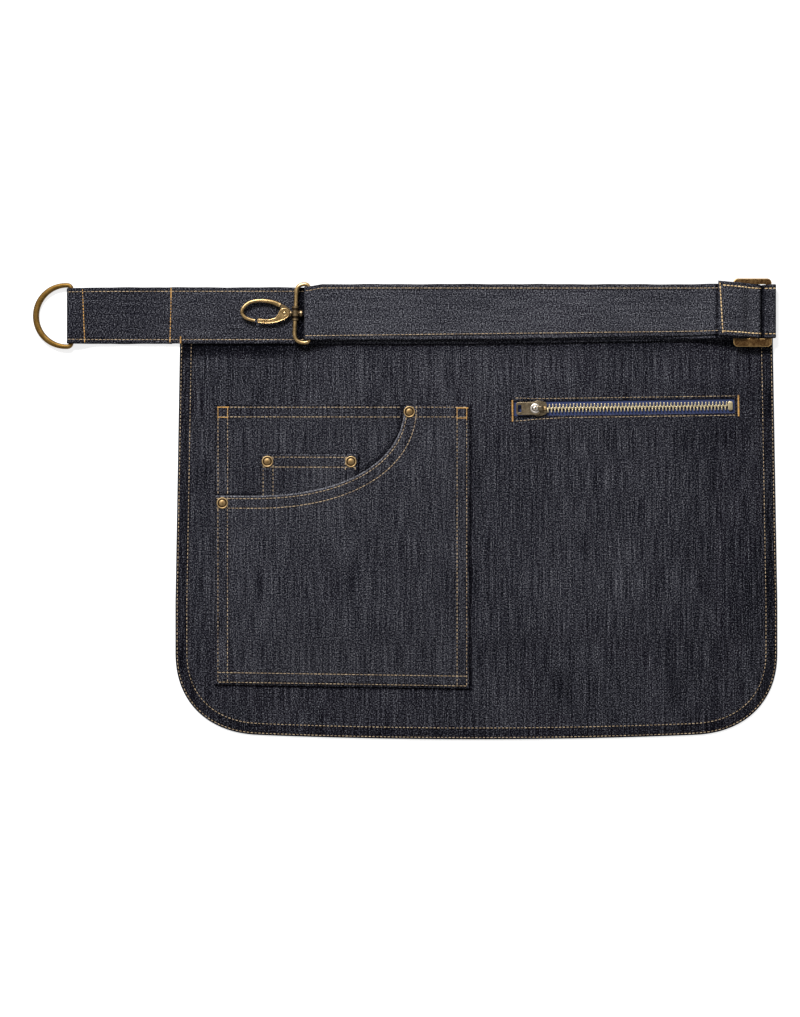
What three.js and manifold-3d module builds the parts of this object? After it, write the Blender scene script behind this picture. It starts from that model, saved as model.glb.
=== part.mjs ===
// A waist apron of dark denim that lies flat: a panel with patch pockets and a zip pocket, under a
// waistband that ends in a D ring at the left and in an adjustable strap with a swivel clasp.
// Millimetres, +Z up. The design stands on the panel's centre line (x = 0) and the waistband's
// centre line (y = 0), and the finished group is moved to the centre of its own box.
import * as THREE from 'three';
import { mergeVertices } from 'three/addons/utils/BufferGeometryUtils.js';
import Module from 'manifold-3d';

const wasm = await Module();
wasm.setup();

// Cloth
const cloth = 1.1;
const hem_fold = 0.6;
const hem_width = 10;
const patch = 1.0;
const strap = 1.4;
const gap = 0.3;

// Panel
const panel_top_width = 474.8;
const panel_bottom_width = 482;
const panel_drop = 339.3;
const panel_tuck = 20;
const corner_across = 68;
const corner_up = 64;
const corner_squareness = 2.3;
const bottom_bow = 6.8;
const bow_start = 110;
const bow_run = 120;
const side_taper = 207;
const ripple_height = 1.5;
const ripple_length = 120;
const ripple_left = 12;
const ripple_down = 100;
const ripple_fade = 50;
const step_across = 21;
const step_down = 24;

// Waistband and strap
const band_width = 45.2;
const band_left = 327.6;
const band_right = 239.2;
const tail_join = 244;
const clasp_reach = 137.6;
const sewn_end = 192.4;
const fold_run = 22;
const band_step = 60;
const slider_run = 36;

// D ring
const ring_wire = 3.7;
const ring_wide_wire = 5.0;
const ring_reach = 28.5;
const ring_corner = 3;
const ring_rise = -0.4;
const ring_side_gap = 0.5;

// Strap slider
const slider_x = 220.2;
const slider_rise = 2.0;
const slider_across = 30.6;
const slider_tall = 54.6;
const slider_slot = 46.2;
const slider_bar = 4.4;
const slider_plate = 1.6;
const slider_corner = 3.6;
const slider_edge = 0.25;
const slot_corner = 0.8;
const crest = 1.6;
const crest_clear = 0.1;
const bar_slack = 0.2;
const turn_reach = 1.9;
const ramp_clear = 1;

// Clasp
const loop_wire = 3.4;
const loop_reach_top = 9.4;
const loop_reach_bottom = 11.6;
const loop_corner = 6.4;
const bar_corner = 1;
const boss_radius = 2.9;
const boss_length = 11.7;
const stem_radius = 1.3;
const stem_head = 2.8;
const stem_head_length = 2.8;
const collar_radius = 2.2;
const collar_thick = 0.7;
const hook_thick = 2.8;
const hook_band = 2.8;
const pin_radius = 1.1;
const teardrop_radius = 4.2;
const cheek_radius = 7.4;
const clasp_rise = 1.36;
const hook_length = 44.1;

// Pockets, from the panel's centre line and the waistband's centre line
const pocket_left = 209.2;
const pocket_width = 203.8;
const pocket_top = 71;
const pocket_height = 224.6;
const pocket_slope = 0.016;
const mouth_across = 151.3;
const mouth_down = 73;
const mouth_flat = 28;
const mouth_squareness = 2.25;
const pocket_puff = 5.6;
const puff_run = 60;
const inner_inset = 2.4;
const inner_top_inset = 0.4;
const mouth_step = 10;
const coin_left = 36;
const coin_width = 78.8;
const coin_top = 39.6;
const coin_height = 87;

// Rivets
const rivet_radius = 4.5;
const rivet_height = 1.7;
const rivet_inset = 6;

// Zip pocket
const zip_x = 119.2;
const zip_down = 73.4;
const zip_tilt = 0.8;
const window_length = 178.4;
const window_height = 11.6;
const window_depth = 30;
const tape = 0.8;
const tape_length = 186;
const tape_width = 25;
const bag = 1.0;
const bag_length = 190;
const bag_height = 190;
const bag_above = 16;
const bag_margin = 4;
const bag_fall = 16;
const tape_end_margin = 2;
const tape_margin = 5;
const tape_fall = 14;
const tooth_pitch = 2.78;
const tooth_width = 1.5;
const tooth_reach = 3.4;
const chain_core = 1.3;
const chain_thick = 2.0;
const tooth_stagger = 0.2;
const chain_head_room = 26.4;
const chain_end_room = 7.6;
const tooth_overrun = 0.16;
const zip_slider_length = 12.6;
const zip_slider_width = 10.8;
const zip_slider_cap = 12.4;
const zip_cap_thick = 1.1;
const zip_cap_corner = 3;
const zip_cap_edge = 0.25;
const body_sink = 0.2;
const bridge_sink = 0.4;
const bridge_shift = 0.2;
const bridge_length = 8;
const bridge_width = 3.6;
const bridge_wall = 1.3;
const bridge_top = 0.8;
const pull_length = 19;
const pull_width = 10.4;
const pull_thick = 1.2;
const pull_eye = 6.4;
const pull_slot_length = 5.2;
const pull_slot_width = 2.7;
const pull_slot_inset = 3.2;
const pull_corner = 2;
const eye_corner = 0.6;
const pull_slot_corner = 1;
const pull_droop = 3;
const stop_length = 3.8;
const stop_width = 6.6;

// Levels
const panel_high = cloth + hem_fold;
const band_mid = panel_high + gap + strap / 2;
const band_top = band_mid + strap / 2;
const tail_mid = strap + gap + strap / 2;
const pitch = strap + gap;
const return_mid = band_top + gap + strap / 2;
const upper_mid = return_mid + pitch;
const inner_low = cloth + gap;
const coin_low = inner_low + patch + gap;
const bag_lift = bag + gap;
const tape_lift = tape + gap;
const tape_top = bag + gap + tape;
const zip_panel_top = bag_lift + tape_lift + cloth;

const chain_length = window_length - chain_head_room - chain_end_room;
const chain_end = window_length / 2 - chain_end_room;
const teeth = Math.round(chain_length / tooth_pitch);
const chain_start = chain_end + tooth_overrun - teeth * tooth_pitch;

const radians = THREE.MathUtils.degToRad;
const lerp = THREE.MathUtils.lerp;
const clamp01 = (s) => Math.min(Math.max(s, 0), 1);
const ease = (s) => clamp01(s) ** 2 * (3 - 2 * clamp01(s));

// Solids
function solidOf(geometry) {
  const bare = geometry.clone();
  bare.deleteAttribute('normal');
  bare.deleteAttribute('uv');
  const merged = mergeVertices(bare, 1e-4);
  const mesh = new wasm.Mesh({
    numProp: 3,
    vertProperties: new Float32Array(merged.attributes.position.array),
    triVerts: new Uint32Array(merged.index.array),
  });
  return new wasm.Manifold(mesh);
}

function geometryOf(solid) {
  const mesh = solid.getMesh();
  const geometry = new THREE.BufferGeometry();
  geometry.setAttribute('position', new THREE.BufferAttribute(mesh.vertProperties, 3));
  geometry.setIndex(new THREE.BufferAttribute(mesh.triVerts, 1));
  geometry.computeVertexNormals();
  return geometry;
}

function join(...geometries) {
  return geometryOf(geometries.map(solidOf).reduce((whole, next) => whole.add(next)));
}

function cut(geometry, ...tools) {
  return geometryOf(tools.map(solidOf).reduce((rest, tool) => rest.subtract(tool), solidOf(geometry)));
}

// A closed geometry from vertices and triangles, turned so that its faces point out
function closed(vertices, triangles) {
  let volume = 0;
  for (const [a, b, c] of triangles) {
    volume += vertices[a].clone().cross(vertices[b]).dot(vertices[c]);
  }
  const faces = volume < 0 ? triangles.map(([a, b, c]) => [a, c, b]) : triangles;
  const geometry = new THREE.BufferGeometry().setFromPoints(vertices);
  geometry.setIndex(faces.flat());
  geometry.computeVertexNormals();
  return geometry;
}

const box = (x, y, z) => new THREE.BoxGeometry(x, y, z);

// A cylinder that lies along X
function rod(radius, length, sides = 16) {
  return new THREE.CylinderGeometry(radius, radius, length, sides).rotateZ(radians(90));
}

// A sheet of cloth on a grid. point(i, j) gives x, y and the heights of its two faces.
function sheet(columns, rows, point) {
  const vertices = [];
  const triangles = [];
  const index = (i, j, side) => 2 * (i * (rows + 1) + j) + side;
  for (let i = 0; i <= columns; i++) {
    for (let j = 0; j <= rows; j++) {
      const { x, y, low, high } = point(i, j);
      vertices.push(new THREE.Vector3(x, y, low), new THREE.Vector3(x, y, high));
    }
  }
  const quad = (a, b, c, d) => triangles.push([a, b, c], [a, c, d]);
  for (let i = 0; i < columns; i++) {
    for (let j = 0; j < rows; j++) {
      quad(index(i, j, 1), index(i + 1, j, 1), index(i + 1, j + 1, 1), index(i, j + 1, 1));
      quad(index(i, j, 0), index(i, j + 1, 0), index(i + 1, j + 1, 0), index(i + 1, j, 0));
    }
    quad(index(i, 0, 0), index(i + 1, 0, 0), index(i + 1, 0, 1), index(i, 0, 1));
    quad(index(i + 1, rows, 0), index(i, rows, 0), index(i, rows, 1), index(i + 1, rows, 1));
  }
  for (let j = 0; j < rows; j++) {
    quad(index(0, j + 1, 0), index(0, j, 0), index(0, j, 1), index(0, j + 1, 1));
    quad(index(columns, j, 0), index(columns, j + 1, 0), index(columns, j + 1, 1), index(columns, j, 1));
  }
  return closed(vertices, triangles);
}

// Grid lines through all the key places, no further apart than the step
function gridLines(keys, step) {
  const lines = [keys[0]];
  for (let k = 1; k < keys.length; k++) {
    const parts = Math.max(1, Math.ceil(Math.abs(keys[k] - keys[k - 1]) / step));
    for (let p = 1; p <= parts; p++) {
      lines.push(lerp(keys[k - 1], keys[k], p / parts));
    }
  }
  return lines;
}

// Points along a closed outline, without the repeated last one
function loopPoints(path, divisions) {
  const points = path.getPoints(divisions);
  const last = points[points.length - 1];
  return last.distanceTo(points[0]) < 1e-6 ? points.slice(0, -1) : points;
}

// A bent wire that closes on itself in the XY plane. wide(point) is its width in that plane.
function wireLoop(points, thick, wide, sides = 10) {
  const vertices = [];
  const triangles = [];
  const count = points.length;
  points.forEach((point, i) => {
    const before = points[(i + count - 1) % count];
    const after = points[(i + 1) % count];
    const along = after.clone().sub(point).normalize().add(point.clone().sub(before).normalize());
    const across = new THREE.Vector2(-along.y, along.x).normalize();
    for (let s = 0; s < sides; s++) {
      const turn = (2 * Math.PI * s) / sides;
      const out = (wide(point) / 2) * Math.cos(turn);
      const up = (thick / 2) * Math.sin(turn);
      vertices.push(new THREE.Vector3(point.x + across.x * out, point.y + across.y * out, up));
    }
  });
  for (let i = 0; i < count; i++) {
    for (let s = 0; s < sides; s++) {
      const a = i * sides + s;
      const b = i * sides + ((s + 1) % sides);
      const c = ((i + 1) % count) * sides + ((s + 1) % sides);
      const d = ((i + 1) % count) * sides + s;
      triangles.push([a, b, c], [a, c, d]);
    }
  }
  return closed(vertices, triangles);
}

// Strap routes are lists of points in the XZ plane, with x along the waistband and y as the height.
const at = (x, z) => new THREE.Vector2(x, z);

function ramp(from, to, steps = 8) {
  const points = [];
  for (let k = 0; k <= steps; k++) {
    points.push(at(lerp(from.x, to.x, k / steps), lerp(from.y, to.y, ease(k / steps))));
  }
  return points;
}

function arc(centre, radius, start, end, steps) {
  const points = [];
  for (let k = 0; k <= steps; k++) {
    const turn = radians(lerp(start, end, k / steps));
    points.push(at(centre.x + radius * Math.cos(turn), centre.y + radius * Math.sin(turn)));
  }
  return points;
}

// Drops points that repeat the one before
const tidy = (points) => points.filter((p, i) => i === 0 || p.distanceTo(points[i - 1]) > 1e-3);

// Normals to the left of the way that a route goes
function leftNormals(points) {
  return points.map((point, i) => {
    const before = points[Math.max(i - 1, 0)];
    const after = points[Math.min(i + 1, points.length - 1)];
    const along = after.clone().sub(before).normalize();
    return at(-along.y, along.x);
  });
}

function offset(points, distance) {
  const normals = leftNormals(points);
  return points.map((point, i) => point.clone().addScaledVector(normals[i], distance));
}

// The part of a route that goes left from its start, up to x
function leftwardTo(points, x) {
  const kept = points.filter((p) => p.x > x);
  const last = kept[kept.length - 1];
  const next = points[kept.length];
  const share = (last.x - x) / (last.x - next.x);
  return [...kept, at(x, lerp(last.y, next.y, share))];
}

// A strap along a route. Each point of the route carries its centre across and its width.
function ribbon(sections) {
  const normals = leftNormals(sections.map((s) => s.point));
  const vertices = [];
  const triangles = [];
  sections.forEach(({ point, centre, width }, i) => {
    for (const [side, face] of [[-1, -1], [1, -1], [1, 1], [-1, 1]]) {
      const skin = point.clone().addScaledVector(normals[i], (face * strap) / 2);
      vertices.push(new THREE.Vector3(skin.x, centre + (side * width) / 2, skin.y));
    }
  });
  const quad = (a, b, c, d) => triangles.push([a, b, c], [a, c, d]);
  for (let i = 0; i + 1 < sections.length; i++) {
    for (let s = 0; s < 4; s++) {
      const t = (s + 1) % 4;
      quad(4 * i + s, 4 * i + t, 4 * (i + 1) + t, 4 * (i + 1) + s);
    }
  }
  const end = 4 * (sections.length - 1);
  quad(3, 2, 1, 0);
  quad(end, end + 1, end + 2, end + 3);
  return closed(vertices, triangles);
}

// Gives each point of a route its place across, from a table of shares of the band's width
function laid(points, start, end, table) {
  return points.map((point) => {
    const along = (point.x - start) / (end - start);
    const row = table.findIndex((r) => r.along >= along);
    const next = table[row < 0 ? table.length - 1 : row];
    const last = table[row < 0 ? table.length - 1 : Math.max(row - 1, 0)];
    const share = next === last ? 0 : (along - last.along) / (next.along - last.along);
    return {
      point,
      centre: lerp(last.rise, next.rise, share) * band_width,
      width: lerp(last.width, next.width, share) * band_width,
    };
  });
}

// Panel
const panel_bottom_half = panel_bottom_width / 2;
const corner_start = -(panel_drop - bottom_bow - corner_up);

function panelSide(y) {
  const tapered = clamp01((-y - band_width / 2) / side_taper);
  return lerp(panel_top_width / 2, panel_bottom_half, tapered);
}

function panelHalf(y) {
  const down = clamp01((corner_start - y) / corner_up);
  const across = (1 - down ** corner_squareness) ** (1 / corner_squareness);
  return panelSide(y) - corner_across * (1 - across);
}

function inside(x, y, centre_x, centre_y, half_x, half_y, run) {
  const out_x = 1 - (Math.abs(x - centre_x) - half_x) / run;
  const out_y = 1 - (Math.abs(y - centre_y) - half_y) / run;
  return ease(out_x) * ease(out_y);
}

const zip_y = -zip_down;
const bag_centre_y = zip_y + bag_above - bag_height / 2;

// How far the panel's underside stands off the ground: over the zip pocket and in soft ripples
function panelLift(x, y) {
  const bag_half_x = bag_length / 2 + bag_margin;
  const bag_half_y = bag_height / 2 + bag_margin;
  const over_bag = inside(x, y, zip_x, bag_centre_y, bag_half_x, bag_half_y, bag_fall);
  const tape_half_x = tape_length / 2 + tape_end_margin;
  const over_tape = inside(x, y, zip_x, zip_y, tape_half_x, tape_width / 2 + tape_margin, tape_fall);
  const free_right = ease((panel_bottom_half - hem_width - x) / ripple_fade);
  const free_bottom = ease((y + panel_drop - bottom_bow - hem_width) / ripple_fade);
  const free_x = ease((x - ripple_left) / ripple_fade) * free_right;
  const free_y = ease((-y - ripple_down) / ripple_fade) * free_bottom;
  const wave = 0.5 + 0.5 * Math.sin((2 * Math.PI * (x + 0.55 * y)) / ripple_length);
  return bag_lift * over_bag + tape_lift * over_tape + ripple_height * wave * free_x * free_y;
}

function panelGeometry() {
  const hem_line = hem_width + hem_fold;
  const across = gridLines([
    -panel_bottom_half, -panel_bottom_half + hem_width, -panel_bottom_half + hem_line,
    0, zip_x - tape_length / 2 - tape_end_margin - tape_fall, zip_x - tape_length / 2,
    zip_x + tape_length / 2, panel_bottom_half - hem_line,
    panel_bottom_half - hem_width, panel_bottom_half,
  ], step_across);
  const slope = tape_margin + tape_fall;
  const straight = gridLines([
    panel_tuck, zip_y + tape_width / 2 + slope, zip_y + tape_width / 2, zip_y - tape_width / 2,
    zip_y - tape_width / 2 - slope, corner_start,
  ], step_down);
  const hem_shares = [1 - hem_line / corner_up, 1 - hem_width / corner_up];
  const corner_shares = [0.25, 0.45, 0.62, 0.75, ...hem_shares, 0.94, 1];
  const down = [...straight, ...corner_shares.map((share) => corner_start - share * corner_up)];
  const count = across.length;
  const by_side = [0, 1, 2, count - 3, count - 2, count - 1];
  return sheet(across.length - 1, down.length - 1, (i, j) => {
    const half = panelHalf(down[j]);
    const x = by_side.includes(i)
      ? across[i] - Math.sign(across[i]) * (panel_bottom_half - half)
      : (across[i] / panelSide(down[j])) * half;
    const bow = bottom_bow * (1 - (x / panel_bottom_half) ** 2);
    const y = down[j] - bow * ease((-down[j] - bow_start) / bow_run);
    const side_hem = i <= 1 || i >= across.length - 2;
    const bottom_hem = j >= down.length - 3;
    const low = panelLift(x, y);
    return { x, y, low, high: low + cloth + (side_hem || bottom_hem ? hem_fold : 0) };
  });
}

function windowTool() {
  return box(window_length, window_height, window_depth)
    .rotateZ(radians(zip_tilt))
    .translate(zip_x, zip_y, 0);
}

// Waistband
const tail_turn = ring_wire / 2 + gap + strap / 2;
const ring_bar = at(-(band_left - strap / 2 - tail_turn), strap / 2 + tail_turn);
const band_join = slider_x + slider_bar;
const band_lay = [
  { along: 0, rise: -0.009, width: 0.982 },
  { along: 0.05, rise: 0, width: 1 },
  { along: 0.77, rise: 0, width: 1 },
  { along: 0.83, rise: 0.02, width: 0.965 },
  { along: 1, rise: 0.071, width: 0.95 },
];

// The tail folds round the ring's bar and is sewn to the waistband at the cross stitch.
function tailGeometry() {
  const end = -tail_join - gap / 2;
  const route = tidy([
    at(end, strap / 2),
    at(ring_bar.x + fold_run, strap / 2),
    ...arc(ring_bar, tail_turn, -90, -270, 14),
    ...ramp(at(ring_bar.x, ring_bar.y + tail_turn), at(ring_bar.x + fold_run, tail_mid)),
    at(end, tail_mid),
  ]);
  return ribbon(laid(route, -band_left, band_right, band_lay));
}

function waistbandGeometry() {
  const start = -tail_join + gap / 2;
  const end = band_join - gap / 2;
  const route = gridLines([start, 0, slider_x - slider_run, end], band_step).map((x) => at(x, band_mid));
  return ribbon(laid(route, -band_left, band_right, band_lay));
}

// Adjuster strap
const over = slider_plate / 2 + gap + strap / 2;
const deep = over + pitch;
const plate_z = band_top + gap + strap / 2 + deep;
const bar_half = slider_bar / 2;
const outer_bar = slider_across / 2 - slider_bar;
const loop_turn = loop_wire / 2 + gap + strap / 2;
const loop_bar = at(-(clasp_reach - strap / 2 - loop_turn), return_mid + loop_turn);
const centre_turn = at(slider_x + bar_half + turn_reach, plate_z);

// The slope of the straight stretch between an inner bend and the crest over an outer bar
function slotSlope(from, to) {
  const reach = from.distanceTo(to);
  const rise = Math.atan2(to.y - from.y, Math.abs(to.x - from.x));
  return THREE.MathUtils.radToDeg(Math.asin((deep + crest) / reach) + rise);
}

const return_lay = [
  { along: 0, rise: 0.03, width: 0.942 },
  { along: 0.1, rise: 0.045, width: 0.93 },
  { along: 1, rise: 0.058, width: 0.942 },
  { along: 1.053, rise: 0.071, width: 0.95 },
];
const upper_lay = [
  { along: 0, rise: 0.03, width: 0.942 },
  { along: 0.03, rise: 0.058, width: 0.985 },
  { along: 0.34, rise: 0.058, width: 0.993 },
  { along: 0.75, rise: 0.084, width: 0.929 },
  { along: 0.92, rise: 0.1, width: 0.899 },
  { along: 0.97, rise: 0.08, width: 0.899 },
  { along: 1, rise: 0.07, width: 0.92 },
];
const sewn_lay = [
  { along: 0.92, rise: 0.124, width: 0.958 },
  { along: 1, rise: 0.075, width: 0.942 },
  { along: 1.02, rise: 0.066, width: 0.942 },
];

function adjusterGeometry() {
  const fold_radius = (plate_z + over - band_mid) / 2;
  const right_fold = at(band_right - strap / 2 - fold_radius, band_mid + fold_radius);
  const right_crest = at(slider_x + outer_bar + crest_clear, plate_z + over - crest);
  const left_crest = at(slider_x - outer_bar - crest_clear, plate_z + over - crest);
  const left_bend = at(slider_x - bar_half + bar_slack, plate_z);
  const right_slope = slotSlope(centre_turn, right_crest);
  const left_slope = slotSlope(left_bend, left_crest);
  const left_edge = slider_x - slider_across / 2 - ramp_clear;
  const entry = [
    at(band_join + gap / 2, band_mid),
    ...arc(right_fold, fold_radius, -90, 90, 12),
    ...arc(right_crest, crest, 90, 90 + right_slope, 4),
    ...arc(centre_turn, deep, -90 + right_slope, -90, 5),
  ];
  const through = [
    ...arc(left_bend, deep, -90, -90 - left_slope, 4),
    ...arc(left_crest, crest, 90 - left_slope, 90, 4),
    ...ramp(at(left_edge, plate_z + over), at(left_edge - slider_run, return_mid), 12),
  ];
  const back = arc(loop_bar, loop_turn, -90, -270, 14);
  const drop = ramp(at(loop_bar.x, loop_bar.y + loop_turn), at(loop_bar.x + fold_run, upper_mid));
  const shared = [at(0, return_mid), ...[...through].reverse()];
  const upper = [...drop, ...offset(tidy(shared), pitch)];
  const turn = arc(centre_turn, over, -90, 90, 9);
  const bar_top = at(slider_x - bar_half, plate_z + over);
  const crossing = ramp(bar_top, at(left_crest.x, plate_z + over + 2 * pitch), 6);
  const top = offset([at(left_crest.x, plate_z + over), ...through.slice(10)], -2 * pitch);
  const sewn = [...turn.slice(5), ...crossing, ...leftwardTo(top, sewn_end)];
  const place = (points, table) => laid(tidy(points), loop_bar.x, slider_x, table);
  return ribbon([
    ...place([...entry, ...through, ...back.slice(0, 8)], return_lay),
    ...place([...back.slice(8), ...upper, ...turn.slice(0, 5)], upper_lay),
    ...place(sewn, sewn_lay),
  ]);
}

// D ring, with its bar on the local Y axis
function ringGeometry() {
  const half = (band_width * band_lay[0].width + ring_wire) / 2 + ring_side_gap;
  const arm = ring_reach - half;
  const path = new THREE.Path();
  path.moveTo(0, -half + ring_corner);
  path.lineTo(0, half - ring_corner);
  path.absarc(-ring_corner, half - ring_corner, ring_corner, 0, Math.PI / 2, false);
  path.lineTo(-Math.max(arm, ring_corner), half);
  path.absellipse(-Math.max(arm, ring_corner), 0, half, half, Math.PI / 2, 1.5 * Math.PI, false, 0);
  path.lineTo(-ring_corner, -half);
  path.absarc(-ring_corner, -half + ring_corner, ring_corner, 1.5 * Math.PI, 2 * Math.PI, false);
  const points = tidy(loopPoints(path, 9));
  return wireLoop(points, ring_wire, (p) => lerp(ring_wire, ring_wide_wire, ease(-p.x / ring_reach)));
}

// Strap slider
function roundedRectangle(width, height, radius) {
  const shape = new THREE.Shape();
  const x = width / 2 - radius;
  const y = height / 2 - radius;
  shape.absarc(x, y, radius, 0, Math.PI / 2, false);
  shape.absarc(-x, y, radius, Math.PI / 2, Math.PI, false);
  shape.absarc(-x, -y, radius, Math.PI, 1.5 * Math.PI, false);
  shape.absarc(x, -y, radius, 1.5 * Math.PI, 2 * Math.PI, false);
  return shape;
}

function plateOf(shape, thick, edge, curveSegments = 4) {
  const options = {
    depth: thick - 2 * edge, bevelEnabled: edge > 0, bevelThickness: edge, bevelSize: edge,
    bevelOffset: -edge, bevelSegments: 1, curveSegments,
  };
  return new THREE.ExtrudeGeometry(shape, options).translate(0, 0, edge - thick / 2);
}

function sliderGeometry() {
  const shape = roundedRectangle(slider_across, slider_tall, slider_corner);
  const slot = outer_bar - bar_half;
  for (const side of [-1, 1]) {
    const hole = roundedRectangle(slot, slider_slot, slot_corner);
    const points = hole.getPoints(2).map((p) => at(p.x + side * (bar_half + slot / 2), p.y));
    shape.holes.push(new THREE.Path(tidy(points).reverse()));
  }
  return plateOf(shape, slider_plate, slider_edge);
}

// Clasp: the loop's bar is on the local Y axis, and the boss holds the hook's stem along X.
const loop_half = (band_width * return_lay[0].width + 2 * gap + loop_wire) / 2;
const boss_x = -(loop_reach_top + loop_reach_bottom) / 2;

function loopGeometry() {
  const inner_corner = loop_wire / 2 + bar_corner;
  const side = at(loop_reach_top - loop_reach_bottom, -2 * loop_half).normalize();
  const path = new THREE.Path();
  path.moveTo(0, -loop_half + inner_corner);
  path.lineTo(0, loop_half - inner_corner);
  path.quadraticCurveTo(0, loop_half, -inner_corner, loop_half);
  path.lineTo(-loop_reach_top + loop_corner, loop_half);
  const top_end = at(-loop_reach_top, loop_half).addScaledVector(side, loop_corner);
  path.quadraticCurveTo(-loop_reach_top, loop_half, top_end.x, top_end.y);
  const bottom_end = at(-loop_reach_bottom, -loop_half).addScaledVector(side, -loop_corner);
  path.lineTo(bottom_end.x, bottom_end.y);
  path.quadraticCurveTo(-loop_reach_bottom, -loop_half, -loop_reach_bottom + loop_corner, -loop_half);
  path.lineTo(-inner_corner, -loop_half);
  path.quadraticCurveTo(0, -loop_half, 0, -loop_half + inner_corner);
  const wire = wireLoop(tidy(loopPoints(path, 6)), loop_wire, () => loop_wire, 12);
  const boss = new THREE.CylinderGeometry(boss_radius, boss_radius, boss_length, 18).translate(boss_x, 0, 0);
  const hole = rod(stem_radius + gap, 4 * boss_radius).translate(boss_x, 0, 0);
  return cut(join(wire, boss), hole);
}

// The hook's centre line from its neck round to the notch, from the boss, as shares of its length
const hook_line = [
  { along: 0.275, across: 0.148 },
  { along: 0.417, across: 0.204 },
  { along: 0.62, across: 0.232 },
  { along: 0.81, across: 0.204 },
  { along: 0.93, across: 0.118 },
  { along: 0.968, across: 0.02 },
  { along: 0.92, across: -0.062 },
  { along: 0.82, across: -0.11 },
  { along: 0.735, across: -0.129 },
];
// The cheek under the pivot, round from the bow to the collar and back
const neck_line = [
  { along: 0.3, across: 0.19 },
  { along: 0.2, across: 0.15 },
  { along: 0.105, across: 0.085 },
  { along: 0.079, across: 0.045 },
  { along: 0.079, across: -0.045 },
  { along: 0.15, across: -0.071 },
  { along: 0.24, across: -0.039 },
  { along: 0.249, across: 0.051 },
  { along: 0.29, across: 0.125 },
];
// The gate's lower side from its tip to the teardrop, and its upper side back to the tip
const gate_under = [
  { along: 0.69, across: -0.166 },
  { along: 0.54, across: -0.182 },
  { along: 0.36, across: -0.168 },
  { along: 0.2, across: -0.118 },
  { along: 0.115, across: -0.05 },
];
const gate_over = [
  { along: 0.37, across: -0.095 },
  { along: 0.5, across: -0.125 },
  { along: 0.69, across: -0.107 },
];
const onHook = ({ along, across }) => at(-along * hook_length, across * hook_length);
const pivot = onHook({ along: 0.195, across: 0.006 });
const hook_cheek = hook_thick / 2 - gap / 2;

function hookBow() {
  const line = new THREE.SplineCurve(hook_line.map(onHook)).getPoints(36);
  const outer = offset(line, hook_band / 2);
  const inner = offset(line, -hook_band / 2);
  return plateOf(new THREE.Shape([...outer, ...inner.reverse()]), hook_thick, 0);
}

function hookGeometry() {
  const collar_x = -boss_radius - gap;
  const neck = new THREE.Shape(neck_line.map(onHook));
  const cheek = plateOf(neck, hook_cheek, 0).translate(0, 0, -(hook_thick - hook_cheek) / 2);
  const collar = rod(collar_radius, collar_thick).translate(collar_x - collar_thick / 2, 0, 0);
  const stem = rod(stem_radius, 2 * (boss_radius + gap) + collar_thick);
  const head = rod(stem_head, stem_head_length, 18)
    .translate(boss_radius + gap + stem_head_length / 2, 0, 0);
  const pin = new THREE.CylinderGeometry(pin_radius, pin_radius, hook_thick, 12)
    .rotateX(radians(90)).translate(pivot.x, pivot.y, 0);
  return join(hookBow(), cheek, collar, stem, head, pin);
}

function gateGeometry() {
  const outer = new THREE.SplineCurve(gate_under.map(onHook)).getPoints(12);
  const round = arc(pivot, teardrop_radius, -18, 150, 12);
  const shape = new THREE.Shape([...outer, ...round, ...gate_over.map(onHook)]);
  const hole = new THREE.Path();
  hole.absarc(pivot.x, pivot.y, pin_radius + gap, 0, 2 * Math.PI, true);
  shape.holes.push(hole);
  const arm = plateOf(shape, hook_thick, 0, 7);
  const under = new THREE.CylinderGeometry(cheek_radius, cheek_radius, hook_thick, 20)
    .rotateX(radians(90)).translate(pivot.x, pivot.y, hook_cheek + gap - hook_thick);
  return cut(arm, under);
}

// Pockets
// Their bottom edge slopes down to the right, and their top edge is level. y is before the slope.
function pocketDrop(x, y) {
  const share = (-pocket_top - y) / pocket_height;
  return pocket_slope * (x + pocket_left) * share;
}

// How far the outer pocket stands open over the inner one. y is before the pockets' slope.
function pocketLift(x, y) {
  const right = pocket_width - pocket_left;
  const bottom = -pocket_top - pocket_height;
  const sides = ease((x + pocket_left) / puff_run) * ease((right - x) / puff_run);
  const ends = ease((y - bottom) / puff_run) * ease((-pocket_top - y) / puff_run);
  return pocket_puff * sides * ends;
}

function outerPocketGeometry() {
  const right = pocket_width - pocket_left;
  const mouth_right = mouth_across - pocket_left;
  const reach = mouth_across - mouth_flat;
  const mouth = [];
  const steps = 11;
  for (let k = 0; k <= steps; k++) {
    const turn = radians(90 * (1 - k / steps));
    mouth.push(at(
      mouth_flat - pocket_left + reach * Math.cos(turn) ** (2 / mouth_squareness),
      -pocket_top - mouth_down * Math.sin(turn) ** (2 / mouth_squareness),
    ));
  }
  const flat = gridLines([-pocket_left, mouth_flat - pocket_left], mouth_step).slice(0, -1);
  const brow = gridLines([mouth_right, right], mouth_step).slice(1);
  const tops = [
    ...flat.map((x) => at(x, -pocket_top - mouth_down)), ...mouth,
    ...brow.map((x) => at(x, -pocket_top)),
  ];
  const rows = 11;
  const bottom = -pocket_top - pocket_height;
  return sheet(tops.length - 1, rows, (i, j) => {
    const x = tops[i].x;
    const y = lerp(bottom, tops[i].y, j / rows);
    const low = coin_low + pocketLift(x, y);
    return { x, y: y - pocketDrop(x, y), low, high: low + patch };
  });
}

// A flat patch between two x and two y, which follows the pockets' slope
function flatPatch(left, right, bottom, top, low, thick) {
  return sheet(1, 1, (i, j) => {
    const x = i ? right : left;
    const y = j ? top : bottom;
    return { x, y: y - pocketDrop(x, y), low, high: low + thick };
  });
}

function innerPocketGeometry() {
  const right = pocket_width - pocket_left - inner_inset;
  const bottom = -pocket_top - pocket_height + inner_inset;
  return flatPatch(-pocket_left, right, bottom, -pocket_top - inner_top_inset, inner_low, patch);
}

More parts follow.
